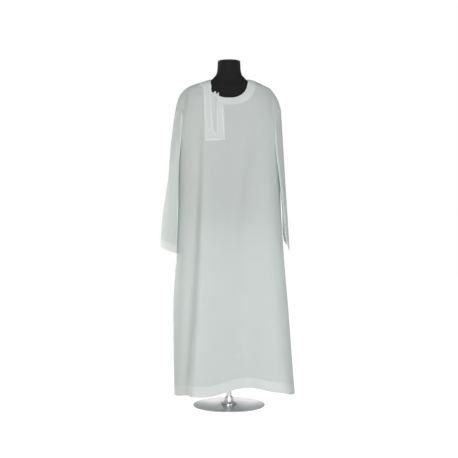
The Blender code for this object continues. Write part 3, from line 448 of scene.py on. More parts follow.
def panel_turns_heights(face, share, between, hem_table, rows):
    """Turn and height of every place; rows counts those of the yoke, the armhole and the skirt."""
    def turns(height):
        return between(face * math.pi, 0.0, height)

    tip = mix(ARMHOLES[-1][0], ARMHOLES[1][0], share) - YOKE_SAG * np.sin(math.pi * share) ** 2
    underarm = mix(ARMHOLES[-1][1], ARMHOLES[1][1], share)
    top = neck_height(turns, NECK_HEIGHT, NECK_DROPS[face][0])
    foot = body(turns(HEM_LEVEL), HEM_LEVEL)[:, 0]
    hem = np.interp(foot, *np.array(hem_table).T)
    yoke, level, skirt = ((np.arange(n) / n)[:, None] for n in rows)
    armhole, edges = mix(tip, underarm, level), []
    for side, from_edge in ((-1, share), (1, 1 - share)):
        edge = armhole_heights(face, side, rows[1])[:, None]
        edges.append(seam_turn(face, side, edge))
        bend = np.clip(1 - from_edge / ARMHOLE_REACH, 0, 1) ** 2
        armhole += (edge - mix(*ARMHOLES[side][:2], level)) * bend
    above = mix(top, tip, yoke**YOKE_CROWD)
    below = np.concatenate([mix(underarm, hem + HEM_ROWS[0] + HEM_LEAD, skirt),
                            hem + HEM_ROWS[:, None]])
    turn = np.concatenate([turns(above) + 0 * above, between(*edges, armhole),
                           turns(below) + 0 * below])
    return turn, np.concatenate([above, armhole, below])


def stitched_down(places, stitch_row, step=()):
    """A grid with its row of stitches pulled in, and its last rows raised by the steps given.

    Also gives the line on which the stitches lie, over every column.
    """
    depth = np.zeros(len(places))
    depth[stitch_row - 2:stitch_row + 3] = STITCH_DIP
    depth[len(places) - len(step):] -= step
    places = places - grid_out(places) * depth[:, None, None]
    return places, (places + grid_out(places) * THREAD_PROUD)[stitch_row]


# %% The back panel
PANEL_ROWS = (44, 66, 150)      # down the yoke, the armhole and the skirt
back_share = near_edges(count=124, width=0.46)


def dressed_panel(name, face, share, between, hem_table, skip=None):
    """A panel's sheet, with its size and area, and the line of its hem's stitches."""
    places = body(*panel_turns_heights(face, share, between, hem_table, PANEL_ROWS))
    if face > 0:
        places = places[:, ::-1]
    places = seam_dip(places, grid_out(places))
    stitch_row = sum(PANEL_ROWS) + int(np.argmin(abs(HEM_ROWS - HEM_STITCH)))
    places, line = stitched_down(places, stitch_row, TURN_STEP * (HEM_ROWS < HEM_STITCH))
    middle = [sum(PANEL_ROWS[:2]), len(share) // 2]
    whole, before = with_turned_edges(places, SEAM_TURN, ["left", "right"])
    whole, _none = with_turned_edges(whole, HEM_TURN, ["foot"])
    if skip is not None:
        wide = np.zeros((whole.shape[0] - 1, whole.shape[1] - 1), bool)
        wide[:skip.shape[0], before[1]:before[1] + skip.shape[1]] = skip
        skip = wide
    middle[1] += before[1]
    # The hem's doubled rows take the second finish, whose whiter colour is a painted highlight.
    hem = last_rows(whole, sum(HEM_ROWS < HEM_STITCH) + len(HEM_TURN))
    return sheet_from(name, whole, middle, skip, layered=hem), line[2:-2]


back_sheet, back_hem_line = dressed_panel(
    "back_panel", 1, back_share, lambda left, right, height: mix(left, right, back_share), BACK_HEM)

# %% The front panel, cut for the zip
LEFT_OF_CUT, RIGHT_OF_CUT = 11 / 28, 12 / 28        # shares of the front at the cut's edges
CUT_COLUMNS = 6
left_part = near_edges(count=46, width=0.18)[:-1]
cut_part = np.arange(CUT_COLUMNS) / CUT_COLUMNS
right_part = near_edges(count=70, width=0.26)
front_part = np.repeat([0, 1, 2], [len(left_part), len(cut_part), len(right_part)])
front_within = np.concatenate([left_part, cut_part, right_part])
front_share = np.choose(front_part, [
    front_within * LEFT_OF_CUT, mix(LEFT_OF_CUT, RIGHT_OF_CUT, front_within),
    mix(RIGHT_OF_CUT, 1.0, front_within)])


def front_turns(left, right, height):
    """Turns across the front, whose columns follow both edges of the cut."""
    cut_left = turn_at(-1, zip_x(height) - CUT_LEFT, height)
    cut_right = turn_at(-1, zip_x(height) + CUT_RIGHT, height)
    low = np.choose(front_part, [left, cut_left, cut_right])
    high = np.choose(front_part, [cut_left, cut_right, right])
    return mix(low, high, front_within)


zip_cut = np.zeros((PANEL_ROWS[0] + PANEL_ROWS[1] // 2, len(front_share) - 1), bool)
zip_cut[:, front_part[:-1] == 1] = True
front_sheet, front_hem_line = dressed_panel(
    "front_panel", -1, front_share, front_turns, FRONT_HEM, zip_cut)

# %% [markdown]
# ## Sleeves
# A sleeve is one piece of cloth, closed by a seam along the arm's underside, set into the armhole
# and turned up at the cuff. It could be skinned over an arm, but this one hangs empty, so each of
# its lengthwise threads is a curve that leaves the armhole, bends down under its own weight and
# reaches the cuff. The grid of those threads is the sleeve.

# %% Lengthwise curves
CUFFS = {
    # side: middle, from there to the outer side, from there to the front, drop of the twist
    -1: ((-0.2785, 0.0000, 0.7175), (-0.0122, -0.0045, 0.0000), (0.0435, -0.1000, -0.0125), 0.0),
    1: ((0.2635, 0.0000, 0.7530), (0.0155, 0.0000, -0.0370), (-0.0060, -0.0900, 0.0120), 0.010),
}
SLEEVE_START = {
    # side: (outwards, forwards, down) at the tip, the front, the underarm and the back
    -1: ((0.062, 0.000, 0.330), (0.035, 0.075, 0.260), (0.090, 0.000, 0.060),
         (0.085, -0.080, 0.260)),
    1: ((0.020, 0.000, 0.330), (0.020, 0.060, 0.260), (0.060, 0.000, 0.060),
        (0.040, -0.060, 0.260)),
}
SLEEVE_END, SLEEVE_LEAN = 0.36, {-1: 0.03, 1: 0.06}
CUFF_STITCH = 0.0235
CUFF_ROWS = np.array([0.0300, 0.0275, 0.0255, 0.0247, 0.0241, 0.0235, 0.0229, 0.0220, 0.0200,
                      0.0150, 0.0100, 0.0050, 0.0015, 0.0])
CUFF_TURN = [(-0.0004, 0.0005), (0.0, 0.0011), (0.004, 0.0012), (0.012, 0.0012), (0.0246, 0.0012),
             (0.0250, 0.0019), (0.0240, 0.0023), (0.0190, 0.0023)]


def armhole_edge(side, share):
    """Turn and height on the armhole: share 0 is its tip, 1/4 the front, 1/2 the underarm."""
    tip, underarm = ARMHOLES[side][:2]
    height = (tip + underarm) / 2 + (tip - underarm) / 2 * np.cos(2 * math.pi * share)
    turn = np.where(share % 1 <= 0.5, seam_turn(-1, side, height), seam_turn(1, side, height))
    return turn, height


def on_armhole(side, share):
    return body(*armhole_edge(side, share))


def on_cuff(side, share):
    """Places on the cuff's edge, at the same shares."""
    middle, outwards, forwards, twist = CUFFS[side]
    angle = 2 * math.pi * share[..., None]
    places = np.array(middle) + np.cos(angle) * outwards + np.sin(angle) * forwards
    return places - np.array([0, 0, twist]) * np.sin(2 * angle)


def armhole_shares(side, count):
    """Shares in even steps along the armhole, from the underarm by the back and the tip."""
    half = crowded(FINE_STEPS + 1)
    share = np.concatenate([0.5 + half / 2, 1 + half[1:] / 2])
    along = lengths_along(on_armhole(side, share)[None])[0]
    return np.interp(np.linspace(0, along[-1], count), along, share)


SLEEVE_ROWS, SLEEVE_COLUMNS = 120, 113
SLEEVE_CROWD = (0, 0.0009, 0.002, 0.004, 0.007, 0.011)       # shares down it beside the armhole
SETTLED = 0.6                   # share of the sleeve by which its columns stand evenly round it


def sleeve_grid(side):
    """Places of a sleeve: rows down it, columns round it from the underarm seam by the back."""
    reach = np.linalg.norm(np.subtract(CUFFS[side][0], on_armhole(side, np.array(0.5))))
    cuff = 1 - CUFF_ROWS / (3 * SLEEVE_END * reach)
    down = np.concatenate([SLEEVE_CROWD[:-1],
                           np.linspace(SLEEVE_CROWD[-1], cuff[0], SLEEVE_ROWS)[:-1], cuff])[:, None]
    settle = np.clip(down / SETTLED, 0, 1)
    share = mix(armhole_shares(side, SLEEVE_COLUMNS), np.linspace(0.5, 1.5, SLEEVE_COLUMNS),
                settle**2 * (3 - 2 * settle))
    start, end = on_armhole(side, share), on_cuff(side, share)
    reach = np.linalg.norm(end - start, axis=-1, keepdims=True)
    quarter = (share % 1) * 4
    first = quarter.astype(int) % 4
    ease = ((1 - np.cos(math.pi * (quarter % 1))) / 2)[..., None]
    table = np.array(SLEEVE_START[side])
    runs = mix(table[first], table[(first + 1) % 4], ease)
    leave = start + runs * (side, -1, -1) * reach
    arrive = end + np.array([-side * SLEEVE_LEAN[side], 0, 1]) * SLEEVE_END * reach
    down = down[..., None]
    return ((1 - down) ** 3 * start + 3 * down * (1 - down) ** 2 * leave
            + 3 * down**2 * (1 - down) * arrive + down**3 * end)


print("left armhole is", round(float(lengths_along(
    on_armhole(-1, np.linspace(0, 1, 400))[None])[0, -1]), 3), "m round")


# %% Both sleeves
def dressed_sleeve(name, side):
    """A sleeve's sheet, with its size and area, and the line of its cuff's stitches."""
    places = sleeve_grid(side)
    down = lengths_along(places.transpose(1, 0, 2)).T
    robe_out = body_out(*armhole_edge(side, armhole_shares(side, SLEEVE_COLUMNS)))
    places = places - robe_out * roll(down)
    if side > 0:
        places = places[:, ::-1]
    out = grid_out(places)
    out[:, 0] = out[:, -1] = unit(out[:, 0] + out[:, -1])
    places = seam_dip(places, out)
    stitch_row = len(places) - len(CUFF_ROWS) + int(np.argmin(abs(CUFF_ROWS - CUFF_STITCH)))
    places, line = stitched_down(places, stitch_row)
    whole, before = with_turned_edges(places, SEAM_TURN, ["left", "right", "top"])
    whole, _none = with_turned_edges(whole, CUFF_TURN, ["foot"])
    middle = (before[0] + SLEEVE_ROWS // 2, before[1] + SLEEVE_COLUMNS // 2)
    # The cuff's doubled rows take the second finish, whose whiter colour is a painted highlight.
    cuff = last_rows(whole, sum(CUFF_ROWS < CUFF_STITCH) + len(CUFF_TURN))
    return sheet_from(name, whole, middle, layered=cuff), line


left_sheet, left_cuff_line = dressed_sleeve("left_sleeve_cloth", -1)
right_sheet, right_cuff_line = dressed_sleeve("right_sleeve_cloth", 1)

# %% [markdown]
# ## Neck band and placket
# Both are strips of doubled cloth laid on the panels and stitched down close to their edges, which
# leaves a puffed rim beyond each row. A flat strip would look printed on. Each strip is therefore a
# grid on the robe's surface, lifted by a profile that falls at the edges and dips at the stitches,
# and at the neck it wraps over the panel's raw edge and runs down inside as a facing.

# %% How a strip stands on the panel
BAND_LIFT = 0.00125
EDGE_RUN, EDGE_START = 0.0006, 0.00025     # run over which an edge rises, and where it begins
ROW_DIP, ROW_RUN = 0.00042, 0.0006         # how deep and how wide the stitches pull the strip in
ROW_IN, SECOND_ROW = 0.0021, 0.0070        # rows of stitches, from an edge
STRIP_THREAD_PROUD = 0.00012
FROM_EDGE = np.array([0, 0.0004, 0.0009, 0.0015, 0.0021, 0.0027, 0.0034, 0.0048, 0.0062, 0.0070,
                      0.0078, 0.0092, 0.0115])


def strip_lift(gap, rows):
    """Height of a strip above its panel at a distance from its edge, with dips at its rows."""
    lift = BAND_LIFT * (1 - np.exp(-((gap + EDGE_START) / EDGE_RUN)))
    for row in rows:
        lift = lift - ROW_DIP * np.exp(-(((gap - row) / ROW_RUN) ** 2))
    return lift


def across_strip(inner, outer, middle_steps=4):
    """Shares across a strip, for each of its lines, that are set by distance from both edges."""
    width = np.linalg.norm(outer - inner, axis=1)[:, None]
    start, end = FROM_EDGE / width, 1 - FROM_EDGE[::-1] / width
    between = np.linspace(0, 1, middle_steps + 2)[1:-1]
    middle = mix(start[:, -1:], end[:, :1], between)
    shares = np.concatenate([start, middle, end], axis=1)
    return shares, shares * width, (1 - shares) * width


def band_height(turn, face, share):
    """Height on the neck band at a share of its width from the neck's edge."""
    drops = NECK_DROPS[face]
    neck = neck_height(lambda height: turn, NECK_HEIGHT, drops[0])
    edge = neck_height(lambda height: turn, BAND_HEIGHT, drops[1])
    return mix(neck, edge, share)


def laid_strip(name, turn, height, gaps, stitch_rows, wrap, behind=False):
    """The sheet of a strip laid on the body, with its size and area, and its lines of stitches."""
    lift = np.minimum(*(strip_lift(gap, stitch_rows) for gap in gaps))
    base, out = body(turn, height), body_out(turn, height)
    lifted = base + out * lift[..., None]
    edge = turned_in(base[:, ::-1], out[:, ::-1], wrap)[:, ::-1]
    under = turned_in(base, out, STRIP_TURN)
    whole = np.concatenate([edge, lifted, under], axis=1)
    if behind:
        whole = whole[::-1]
    columns = [int(np.argmin(abs(FROM_EDGE - row))) for row in stitch_rows]
    # Cells from each edge to the outer row of stitches take the second finish, whose whiter colour
    # paints a highlight on the strip's rims.
    cell, rim = np.arange(whole.shape[1] - 1) - len(wrap), columns[-1]
    rims = (cell < rim) | (cell >= lifted.shape[1] - 1 - rim)
    made = sheet_from(name, whole.transpose(1, 0, 2), (len(wrap), len(whole) // 2), layered=rims)
    thread = lifted + out * STRIP_THREAD_PROUD
    return made, [thread[:, column] for column in columns + [-1 - column for column in columns]]


STRIP_TURN = [(-0.0002, -0.0004), (0.0003, -0.0001), (0.0040, -0.0001), (0.0090, -0.0001)]
NECK_WRAP = [(0.0300, 0.0016), (0.0200, 0.0016), (0.0100, 0.0016), (0.0040, 0.0015),
             (0.0010, 0.0014), (-0.0006, 0.0009), (-0.0009, 0.0003), (-0.0005, -0.0004)]
print("bands stand", BAND_LIFT * 1000, "mm proud")

# %% The neck band, in front and behind
SLOT_LEFT, SLOT_RIGHT = (0.0180, 0.0120), (0.0066, 0.0050)
SLOT_SHOULDER = 1.262
LIP = 0.0003                    # from the slot's right edge to the end of the front band
CLOSING_STEPS = 12              # steps in which a crossing is closed in on


def slot_edges(height):
    """Left and right edge of the placket's slot."""
    share = np.clip((ZIP_LINE[0][1] - height) / (ZIP_LINE[0][1] - SLOT_SHOULDER), 0, 1)
    return zip_x(height) - mix(*SLOT_LEFT, share), zip_x(height) + mix(*SLOT_RIGHT, share)


def band_turn_at(x, share):
    """Turn where a line of the front band crosses an upright line at x."""
    x, share = np.broadcast_arrays(np.asarray(x, float), share)
    turn = turn_at(-1, x, np.full_like(x, NECK_HEIGHT - NECK_DROPS[-1][0]))
    for _step in range(CLOSING_STEPS):
        turn = turn_at(-1, x, band_height(turn, -1, share))
    return turn


def neck_band(name, face, start_turns, columns):
    """A stretch of the neck band; start_turns gives the turn of its left end at a share across."""
    ends = []
    for share in (0.0, 1.0):
        height = np.full(1, NECK_HEIGHT if face > 0 and not share else BAND_HEIGHT)
        start = start_turns(np.full(1, share), height)
        turn = mix(start, seam_turn(face, 1, height), np.linspace(0, 1, columns))
        ends.append((turn, body(turn, band_height(turn, face, share))))
    shares, *gaps = across_strip(ends[0][1], ends[1][1])
    turn = mix(ends[0][0][:, None], ends[1][0][:, None], shares)
    return laid_strip(name, turn, band_height(turn, face, shares), gaps, (ROW_IN,), NECK_WRAP,
                      face > 0)


lip_x = slot_edges(ZIP_LINE[0][1])[1] + LIP
band_front_sheet, band_front_lines = neck_band(
    "neck_band_front_cloth", -1, lambda share, height: band_turn_at(lip_x, share), columns=150)
band_back_sheet, band_back_lines = neck_band(
    "neck_band_back_cloth", 1, lambda share, height: seam_turn(1, -1, height), columns=110)

# %% [markdown]
# The placket runs from the left shoulder along the neck, then down and round the zip's slot as a
# U. It is one strip again: pairs of corners on its inner and outer edge are listed in order, and
# even steps between them give the lines that cross it.

# %% The placket
PLACKET_LEFT = ((-0.1165, 1.4866), (-0.1052, 1.2045))    # (across, height) at the top and the foot
PLACKET_RIGHT = ((-0.0262, 1.3740), (-0.0172, 1.2100))
SLOT_FOOT = ((-0.0645, 1.2395), (-0.0542, 1.2430))
NECK_LINES = 30                 # lines across it between the shoulder and the slot
MIDDLE_LINES = 5                # lines along its middle, between the two edges
SLOT_WRAP = [(0.0090, -0.0001), (0.0070, -0.0001), (0.0050, -0.0001), (0.0030, -0.0001),
             (0.0015, -0.0001), (0.0004, -0.0001), (0.0, -0.0002), (-0.0001, -0.0004)]


def on_line(ends, height):
    """The (across, height) place of a sloping edge at a height."""
    share = (ends[0][1] - height) / (ends[0][1] - ends[1][1])
    return mix(ends[0][0], ends[1][0], share), height


def halfway(a, b, share=0.5):
    return mix(a[0], b[0], share), mix(a[1], b[1], share)


def placket_stations():
    """Pairs of (inner corner, outer corner) down the slot's left side, round its foot and up."""
    shoulder_left, shoulder_right = ((float(x), SLOT_SHOULDER) for x in slot_edges(SLOT_SHOULDER))
    top_x, lip = (float(x) for x in slot_edges(ZIP_LINE[0][1]))
    neck_end = float(band_height(band_turn_at(top_x, 0.0), -1, 0.0))
    lip_top = float(band_height(band_turn_at(lip, 1.0), -1, 1.0))
    right_x = PLACKET_RIGHT[0][0]
    right_top = float(band_height(band_turn_at(right_x, 1.0), -1, 1.0))
    corner_left, corner_right = PLACKET_LEFT[1], PLACKET_RIGHT[1]
    below = halfway(corner_left, corner_right, 0.46)
    return [
        # inner corner, outer corner, lines up to the next pair
        ((top_x, neck_end), on_line(PLACKET_LEFT, neck_end), 44),
        (shoulder_left, on_line(PLACKET_LEFT, SLOT_SHOULDER), 12),
        (halfway(shoulder_left, SLOT_FOOT[0], 1 / 3), corner_left, 12),
        (SLOT_FOOT[0], below, 4),
        (SLOT_FOOT[1], halfway(below, corner_right), 8),
        (halfway(SLOT_FOOT[1], shoulder_right), corner_right, 10),
        (shoulder_right, on_line(PLACKET_RIGHT, SLOT_SHOULDER), 34),
        ((lip, lip_top), (right_x, right_top), 0),
    ]


def placket_edges():
    """Turn and height of every line's inner and outer end, from the left shoulder on."""
    stations = placket_stations()
    inner, outer = [], []
    for (start_in, start_out, lines), (end_in, end_out, _lines) in zip(stations, stations[1:]):
        for line in range(lines):
            inner.append(halfway(start_in, end_in, line / lines))
            outer.append(halfway(start_out, end_out, line / lines))
    inner.append(stations[-1][0])
    outer.append(stations[-1][1])
    shoulder = seam_turn(-1, -1, np.full(1, BAND_HEIGHT))[0]
    ends = []
    for (x, height), share in ((np.array(inner).T, 0.0), (np.array(outer).T, 1.0)):
        turn = turn_at(-1, x, height)
        neck = np.linspace(shoulder, turn[0], NECK_LINES, endpoint=False)
        blend = share * np.linspace(0, 1, NECK_LINES, endpoint=False) ** 3
        neck_heights = mix(band_height(neck, -1, share), height[0], blend)
        ends.append((np.concatenate([neck, turn]), np.concatenate([neck_heights, height])))
    return ends


(inner_turn, inner_height), (outer_turn, outer_height) = placket_edges()
placket_shares, *placket_gaps = across_strip(
    body(inner_turn, inner_height), body(outer_turn, outer_height), MIDDLE_LINES)
placket_turn = mix(inner_turn[:, None], outer_turn[:, None], placket_shares)
placket_height = mix(inner_height[:, None], outer_height[:, None], placket_shares)
on_neck = np.arange(len(inner_turn)) < NECK_LINES + 2
placket_wrap = [np.where(on_neck, np.array(neck)[:, None], np.array(slot)[:, None])
                for neck, slot in zip(NECK_WRAP, SLOT_WRAP)]
placket_sheet, placket_lines = laid_strip(
    "placket_cloth", placket_turn, placket_height, placket_gaps, (ROW_IN, SECOND_ROW), placket_wrap)

# %% [markdown]
# ## The zip's tapes
# A zip is sewn behind the slot on two woven tapes. They are thin flat strips, so each is a grid
# again: level beside the teeth and tucked under the panel's cut further out.

# %% Two tapes
TAPE_PARTING = (0.0012, 0.00015)       # from the zip's line to a tape, above and below the slider
TAPE_TOPS = {-1: (1.4310, 1.4240), 1: (1.4275, 1.4165)}      # heights at the outer and inner edge
TAPE_REACH = {-1: 0.0240, 1: 0.0170}   # from the zip's line to the outer edge
TAPE_FOOT, SLIDER_FOOT = 1.222, 1.4180
TAPE_THICK, TAPE_ROWS = 0.00055, 90
TUCKED, TUCK_RUN = 0.008, 0.003        # width that lies under the panel, and the run into it
TAPE_COLUMNS, EDGE_WIDTH = (9, 5), 0.006      # open and tucked ones, and the tucked ones' width
TAPE_BACK, TAPE_TUCK = 0.0002, 0.0007  # depth behind the robe's face, and how much more when tucked
CLOSING, UNDER_RUN = 0.004, 0.006      # heights over which tapes close, and go under the placket


def zip_tape(name, side):
    """One tape's sheet, with its size and area: side -1 is left of the teeth."""
    near, far = TAPE_PARTING[0], TAPE_REACH[side]
    away = np.concatenate([np.linspace(near, far - TUCKED, TAPE_COLUMNS[0]),
                           np.linspace(far - EDGE_WIDTH, far, TAPE_COLUMNS[1])])
    tops = np.interp(away, (near, far), TAPE_TOPS[side][::-1])
    height = mix(tops, TAPE_FOOT, np.linspace(0, 1, TAPE_ROWS)[:, None])
    closed = np.clip((SLIDER_FOOT - height) / CLOSING, 0, 1) * np.clip(1 - away / TUCKED, 0, 1)
    away = away - closed * (near - TAPE_PARTING[1])
    turn = turn_at(-1, zip_x(height) + side * away, height)
    tuck = np.clip((away - (far - TUCKED)) / TUCK_RUN, 0, 1)
    under = np.clip((SLOT_SHOULDER - height) / UNDER_RUN, 0, 1)
    depth = TAPE_BACK + TAPE_TUCK * np.maximum(tuck, under)
    places = body(turn, height) - body_out(turn, height) * depth[..., None]
    if side < 0:
        places = places[:, ::-1]
    return sheet_from(name, places, thick=TAPE_THICK)


tape_left_sheet = zip_tape("zip_tape_left_weave", -1)
tape_right_sheet = zip_tape("zip_tape_right_weave", 1)

# %% [markdown]
# ## Stitches
# Topstitching is the same small stitch hundreds of times over. Modelling each by hand, or painting
# them on, would either take for ever or look flat from the side. Geometry Nodes fit the job: the
# tree walks along each seam line, sets a point at every pitch, turns a tiny thread-shaped ball to
# lie along the line, and ends as real faces with their own material.


# %% A tree that sews
def new_tree(name, sockets):
    """A Geometry Nodes tree: itself, its inputs by name, its end, and the inputs' identifiers."""
    tree = bpy.data.node_groups.new(name, "GeometryNodeTree")
    ids = {}
    for title, kind, value in sockets:
        socket = tree.interface.new_socket(title, in_out="INPUT", socket_type=kind)
        if value is not None:
            socket.default_value = value
        ids[title] = socket.identifier
    tree.interface.new_socket("Made", in_out="OUTPUT", socket_type="NodeSocketGeometry")
    return tree, tree.nodes.new("NodeGroupInput").outputs, tree.nodes.new("NodeGroupOutput"), ids


def wire(tree, node, inputs):
    """Sets a node's inputs, by name or number: a socket is linked, and anything else is a value."""
    for key, value in inputs.items():
        if isinstance(value, bpy.types.NodeSocket):
            tree.links.new(value, node.inputs[key])
        else:
            node.inputs[key].default_value = value


def add_node(tree, kind, inputs, out=0, **settings):
    """The named output of a new node that has these settings and inputs."""
    made = tree.nodes.new(kind)
    for key, value in settings.items():
        setattr(made, key, value)
    wire(tree, made, inputs)
    return made.outputs[out]


def along_line(tree, line, pitch):
    """Points at every pitch along a line, and the rotation that lays a Z axis along it."""
    curve = add_node(tree, "GeometryNodeMeshToCurve", {"Mesh": line})
    points = add_node(tree, "GeometryNodeCurveToPoints", {"Curve": curve, "Length": pitch},
                      mode="LENGTH")
    return points, add_node(tree, "FunctionNodeAlignRotationToVector",
                            {"Vector": points.node.outputs["Tangent"]}, axis="Z")


def thread_ball(tree, width, thick, length):
    """An instance shape: a small ball stretched to a thread's width, thickness and length."""
    ball = add_node(tree, "GeometryNodeMeshUVSphere", {"Segments": 7, "Rings": 5, "Radius": 0.5})
    shape = add_node(tree, "ShaderNodeCombineXYZ", {"X": width, "Y": thick, "Z": length})
    return add_node(tree, "GeometryNodeTransform", {"Scale": shape, "Geometry": ball})


def finish_tree(tree, end, instances, finish):
    """Realize the instances, shade them smooth and set their material."""
    real = add_node(tree, "GeometryNodeRealizeInstances", {0: instances})
    smooth = add_node(tree, "GeometryNodeSetShadeSmooth", {0: real})
    finished = add_node(tree, "GeometryNodeSetMaterial", {"Geometry": smooth, "Material": finish})
    wire(tree, end, {0: finished})


def stitching_tree():
    """A tree that lays a thread-shaped ball at every pitch along a seam line."""
    tree, given, end, ids = new_tree("row_of_stitches", [
        ("Seam line", "NodeSocketGeometry", None), ("Pitch", "NodeSocketFloat", 0.0030),
        ("Stitch", "NodeSocketFloat", 0.0025), ("Thread", "NodeSocketFloat", 0.00042),
        ("Seed", "NodeSocketInt", 3), ("Finish", "NodeSocketMaterial", None)])
    points, lie = along_line(tree, given["Seam line"], given["Pitch"])
    uneven = add_node(tree, "FunctionNodeRandomValue", data_type="FLOAT_VECTOR", inputs={
        "Min": (0.94, 0.94, 0.88), "Max": (1.06, 1.06, 1.04), "Seed": given["Seed"]})
    stitch = thread_ball(tree, given["Thread"], given["Thread"], given["Stitch"])
    placed = add_node(tree, "GeometryNodeInstanceOnPoints", {
        "Points": points, "Instance": stitch, "Rotation": lie, "Scale": uneven})
    finish_tree(tree, end, placed, given["Finish"])
    return tree, ids


stitch_tree, stitch_inputs = stitching_tree()
print("the sewing tree takes", list(stitch_inputs))

# %% [markdown]
# ## Finishes
# The cloth is a light plain weave: matt, faintly sheer, so that the black form shows through as a
# grey shade. Transparency would show the form sharply, as glass does. Light that soaks through
# cloth comes out scattered, which is what a Translucent shader mixed with the Principled one does.
# The weave is worked out from the UV map, which is in metres, so a thread is the same width on
# every piece.


# %% Small helpers for materials
def new_finish(name, colour, **values):
    """A material with its Principled shader, whose even values are set on its own sockets."""
    finish = bpy.data.materials.new(name)
    finish.use_nodes = True
    finish.diffuse_color = (*colour, 1)
    tree = finish.node_tree
    shader = tree.nodes["Principled BSDF"]
    shader.inputs["Base Color"].default_value = (*colour, 1)
    for key, value in values.items():
        shader.inputs[key.replace("_", " ")].default_value = value
    return finish, tree, shader


def calculate(tree, operation, *sources):
    """The result of one arithmetic node on sockets or numbers."""
    return add_node(tree, "ShaderNodeMath", dict(enumerate(sources)), operation=operation)


def on_object(tree):
    """Each place on the object itself, in metres."""
    return add_node(tree, "ShaderNodeTexCoord", {}, out="Object")


def apart(tree, vector):
    """The X, Y and Z of a vector, as outputs by those names."""
    return add_node(tree, "ShaderNodeSeparateXYZ", {0: vector}).node.outputs


def noise(tree, place, scale, detail):
    """A noise between 0 and 1 that is fixed to the places given."""
    return add_node(tree, "ShaderNodeTexNoise", {"Vector": place, "Scale": scale, "Detail": detail})


def tinted(tree, share, dark, light):
    """A colour between two, by a share."""
    return add_node(tree, "ShaderNodeMix", {"Factor": share, 6: (*dark, 1), 7: (*light, 1)}, out=2,
                    data_type="RGBA")


def roughened(tree, shader, share, low, high):
    """Roughness between two values, by a share."""
    wire(tree, shader, {"Roughness": add_node(tree, "ShaderNodeMapRange", {
        "Value": share, "To Min": low, "To Max": high})})


def raised(tree, shader, height, distance, strength):
    """Bump on a shader from a height between 0 and 1 and its real depth."""
    bump = add_node(tree, "ShaderNodeBump", {
        "Height": height, "Strength": strength, "Distance": distance})
    wire(tree, shader, {"Normal": bump})
    return bump


# %% Woven cloth
def weave_height(tree, uv, pitch, stretch):
    """Over-and-under height of a plain weave, from the cloth's UV map in metres."""
    across = apart(tree, uv)
    turns = [calculate(tree, "MULTIPLY", across[axis], math.pi / (pitch * run))
             for axis, run in zip("XY", stretch)]
    waves = [calculate(tree, "SINE", turn) for turn in turns]
    return calculate(tree, "MULTIPLY_ADD", calculate(tree, "MULTIPLY", *waves), 0.5, 0.5)


def thread_noise(tree, uv, scale):
    """Uneven threads: noise drawn out along one direction of the cloth."""
    run = add_node(tree, "ShaderNodeMapping", {0: uv, "Scale": (*scale, 1.0)})
    return noise(tree, run, 1.0, 3.0)


THREADS, PATCHES = ((900, 9), (7, 800)), (14, 9)      # noise across and along, per metre
THREAD_HEIGHT = 0.8             # of the threads' unevenness, beside the weave's own
# The weave's share of the tone is painted shade: the weave's dips are coloured darker.
PAINTED_DIP_SHADE, THREAD_TONE, PATCH_TONE = 0.25, 0.5, 0.25       # what each adds to the cloth's tone


def woven(name, colour, shade, sheer, pitch=0.00042, depth=0.00012, stretch=(1.0, 1.0)):
    """A woven cloth that lets a share of the light soak through.

    The pitch is from thread to thread, and the depth is that of the weave. Its colour varies at
    random along the threads and in patches, and is darker in the weave's dips, which is painted
    shade.
    """
    finish, tree, shader = new_finish(name, colour, Roughness=0.82, Sheen_Weight=0.12,
                                      Sheen_Roughness=0.55, Specular_IOR_Level=0.25)
    uv = add_node(tree, "ShaderNodeUVMap", {}, uv_map="cloth")
    over = weave_height(tree, uv, pitch, stretch)
    warp, weft, patch = (thread_noise(tree, uv, scale) for scale in (*THREADS, PATCHES))
    threads = calculate(tree, "MULTIPLY_ADD", calculate(tree, "ADD", warp, weft), 0.5, 0.0)
    height = calculate(tree, "MULTIPLY_ADD", threads, THREAD_HEIGHT, over)
    patchy = calculate(tree, "MULTIPLY", patch, PATCH_TONE)
    uneven = calculate(tree, "MULTIPLY_ADD", threads, THREAD_TONE, patchy)
    # Painted shade in the weave's dips, added to tone that varies at random along the threads and
    # in patches.
    tone = calculate(tree, "ADD", calculate(tree, "MULTIPLY", over, PAINTED_DIP_SHADE), uneven)
    cloth_tone_and_dip_shade = tinted(tree, tone, shade, colour)
    bump = raised(tree, shader, height, depth, 0.35)
    wire(tree, shader, {"Base Color": cloth_tone_and_dip_shade})
    soaked = add_node(tree, "ShaderNodeBsdfTranslucent", {"Color": cloth_tone_and_dip_shade, "Normal": bump})
    blend = add_node(tree, "ShaderNodeMixShader", {"Fac": sheer, 1: shader.outputs[0], 2: soaked})
    wire(tree, tree.nodes["Material Output"], {"Surface": blend})
    return finish


white_cloth = woven("white alb cloth", (0.905, 0.932, 0.923), (0.875, 0.902, 0.893), 0.515)
# The doubled cloth lets less light through, as two layers do; its colour, a little darker than the
# single cloth's, is painted shade.
painted_darker_doubled_cloth = woven("white alb cloth, doubled", (0.895, 0.920, 0.912), (0.865, 0.890, 0.882), 0.36)
# The turned-in cloth lets less light through, as two layers do; its whiter colour is a painted
# highlight.
painted_bright_turned_cloth = woven("white alb cloth, turned in", (0.970, 0.984, 0.980), (0.948, 0.964, 0.958), 0.40)
# The tape's colour is partly its own off-white and partly painted shade, darker to stand for the
# shade in the zip's slot.
zip_tape_with_slot_shade = woven("woven zip tape", (0.83, 0.855, 0.85), (0.73, 0.76, 0.75), 0.20,
                   pitch=0.00060, depth=0.00015, stretch=(1.0, 0.6))
thread_finish, _tree, _shader = new_finish("white sewing thread", (0.84, 0.87, 0.86),
                                           Roughness=0.55, Sheen_Weight=0.3)
print("cloths:", [made.name for made in (white_cloth, painted_darker_doubled_cloth, painted_bright_turned_cloth, zip_tape_with_slot_shade)])

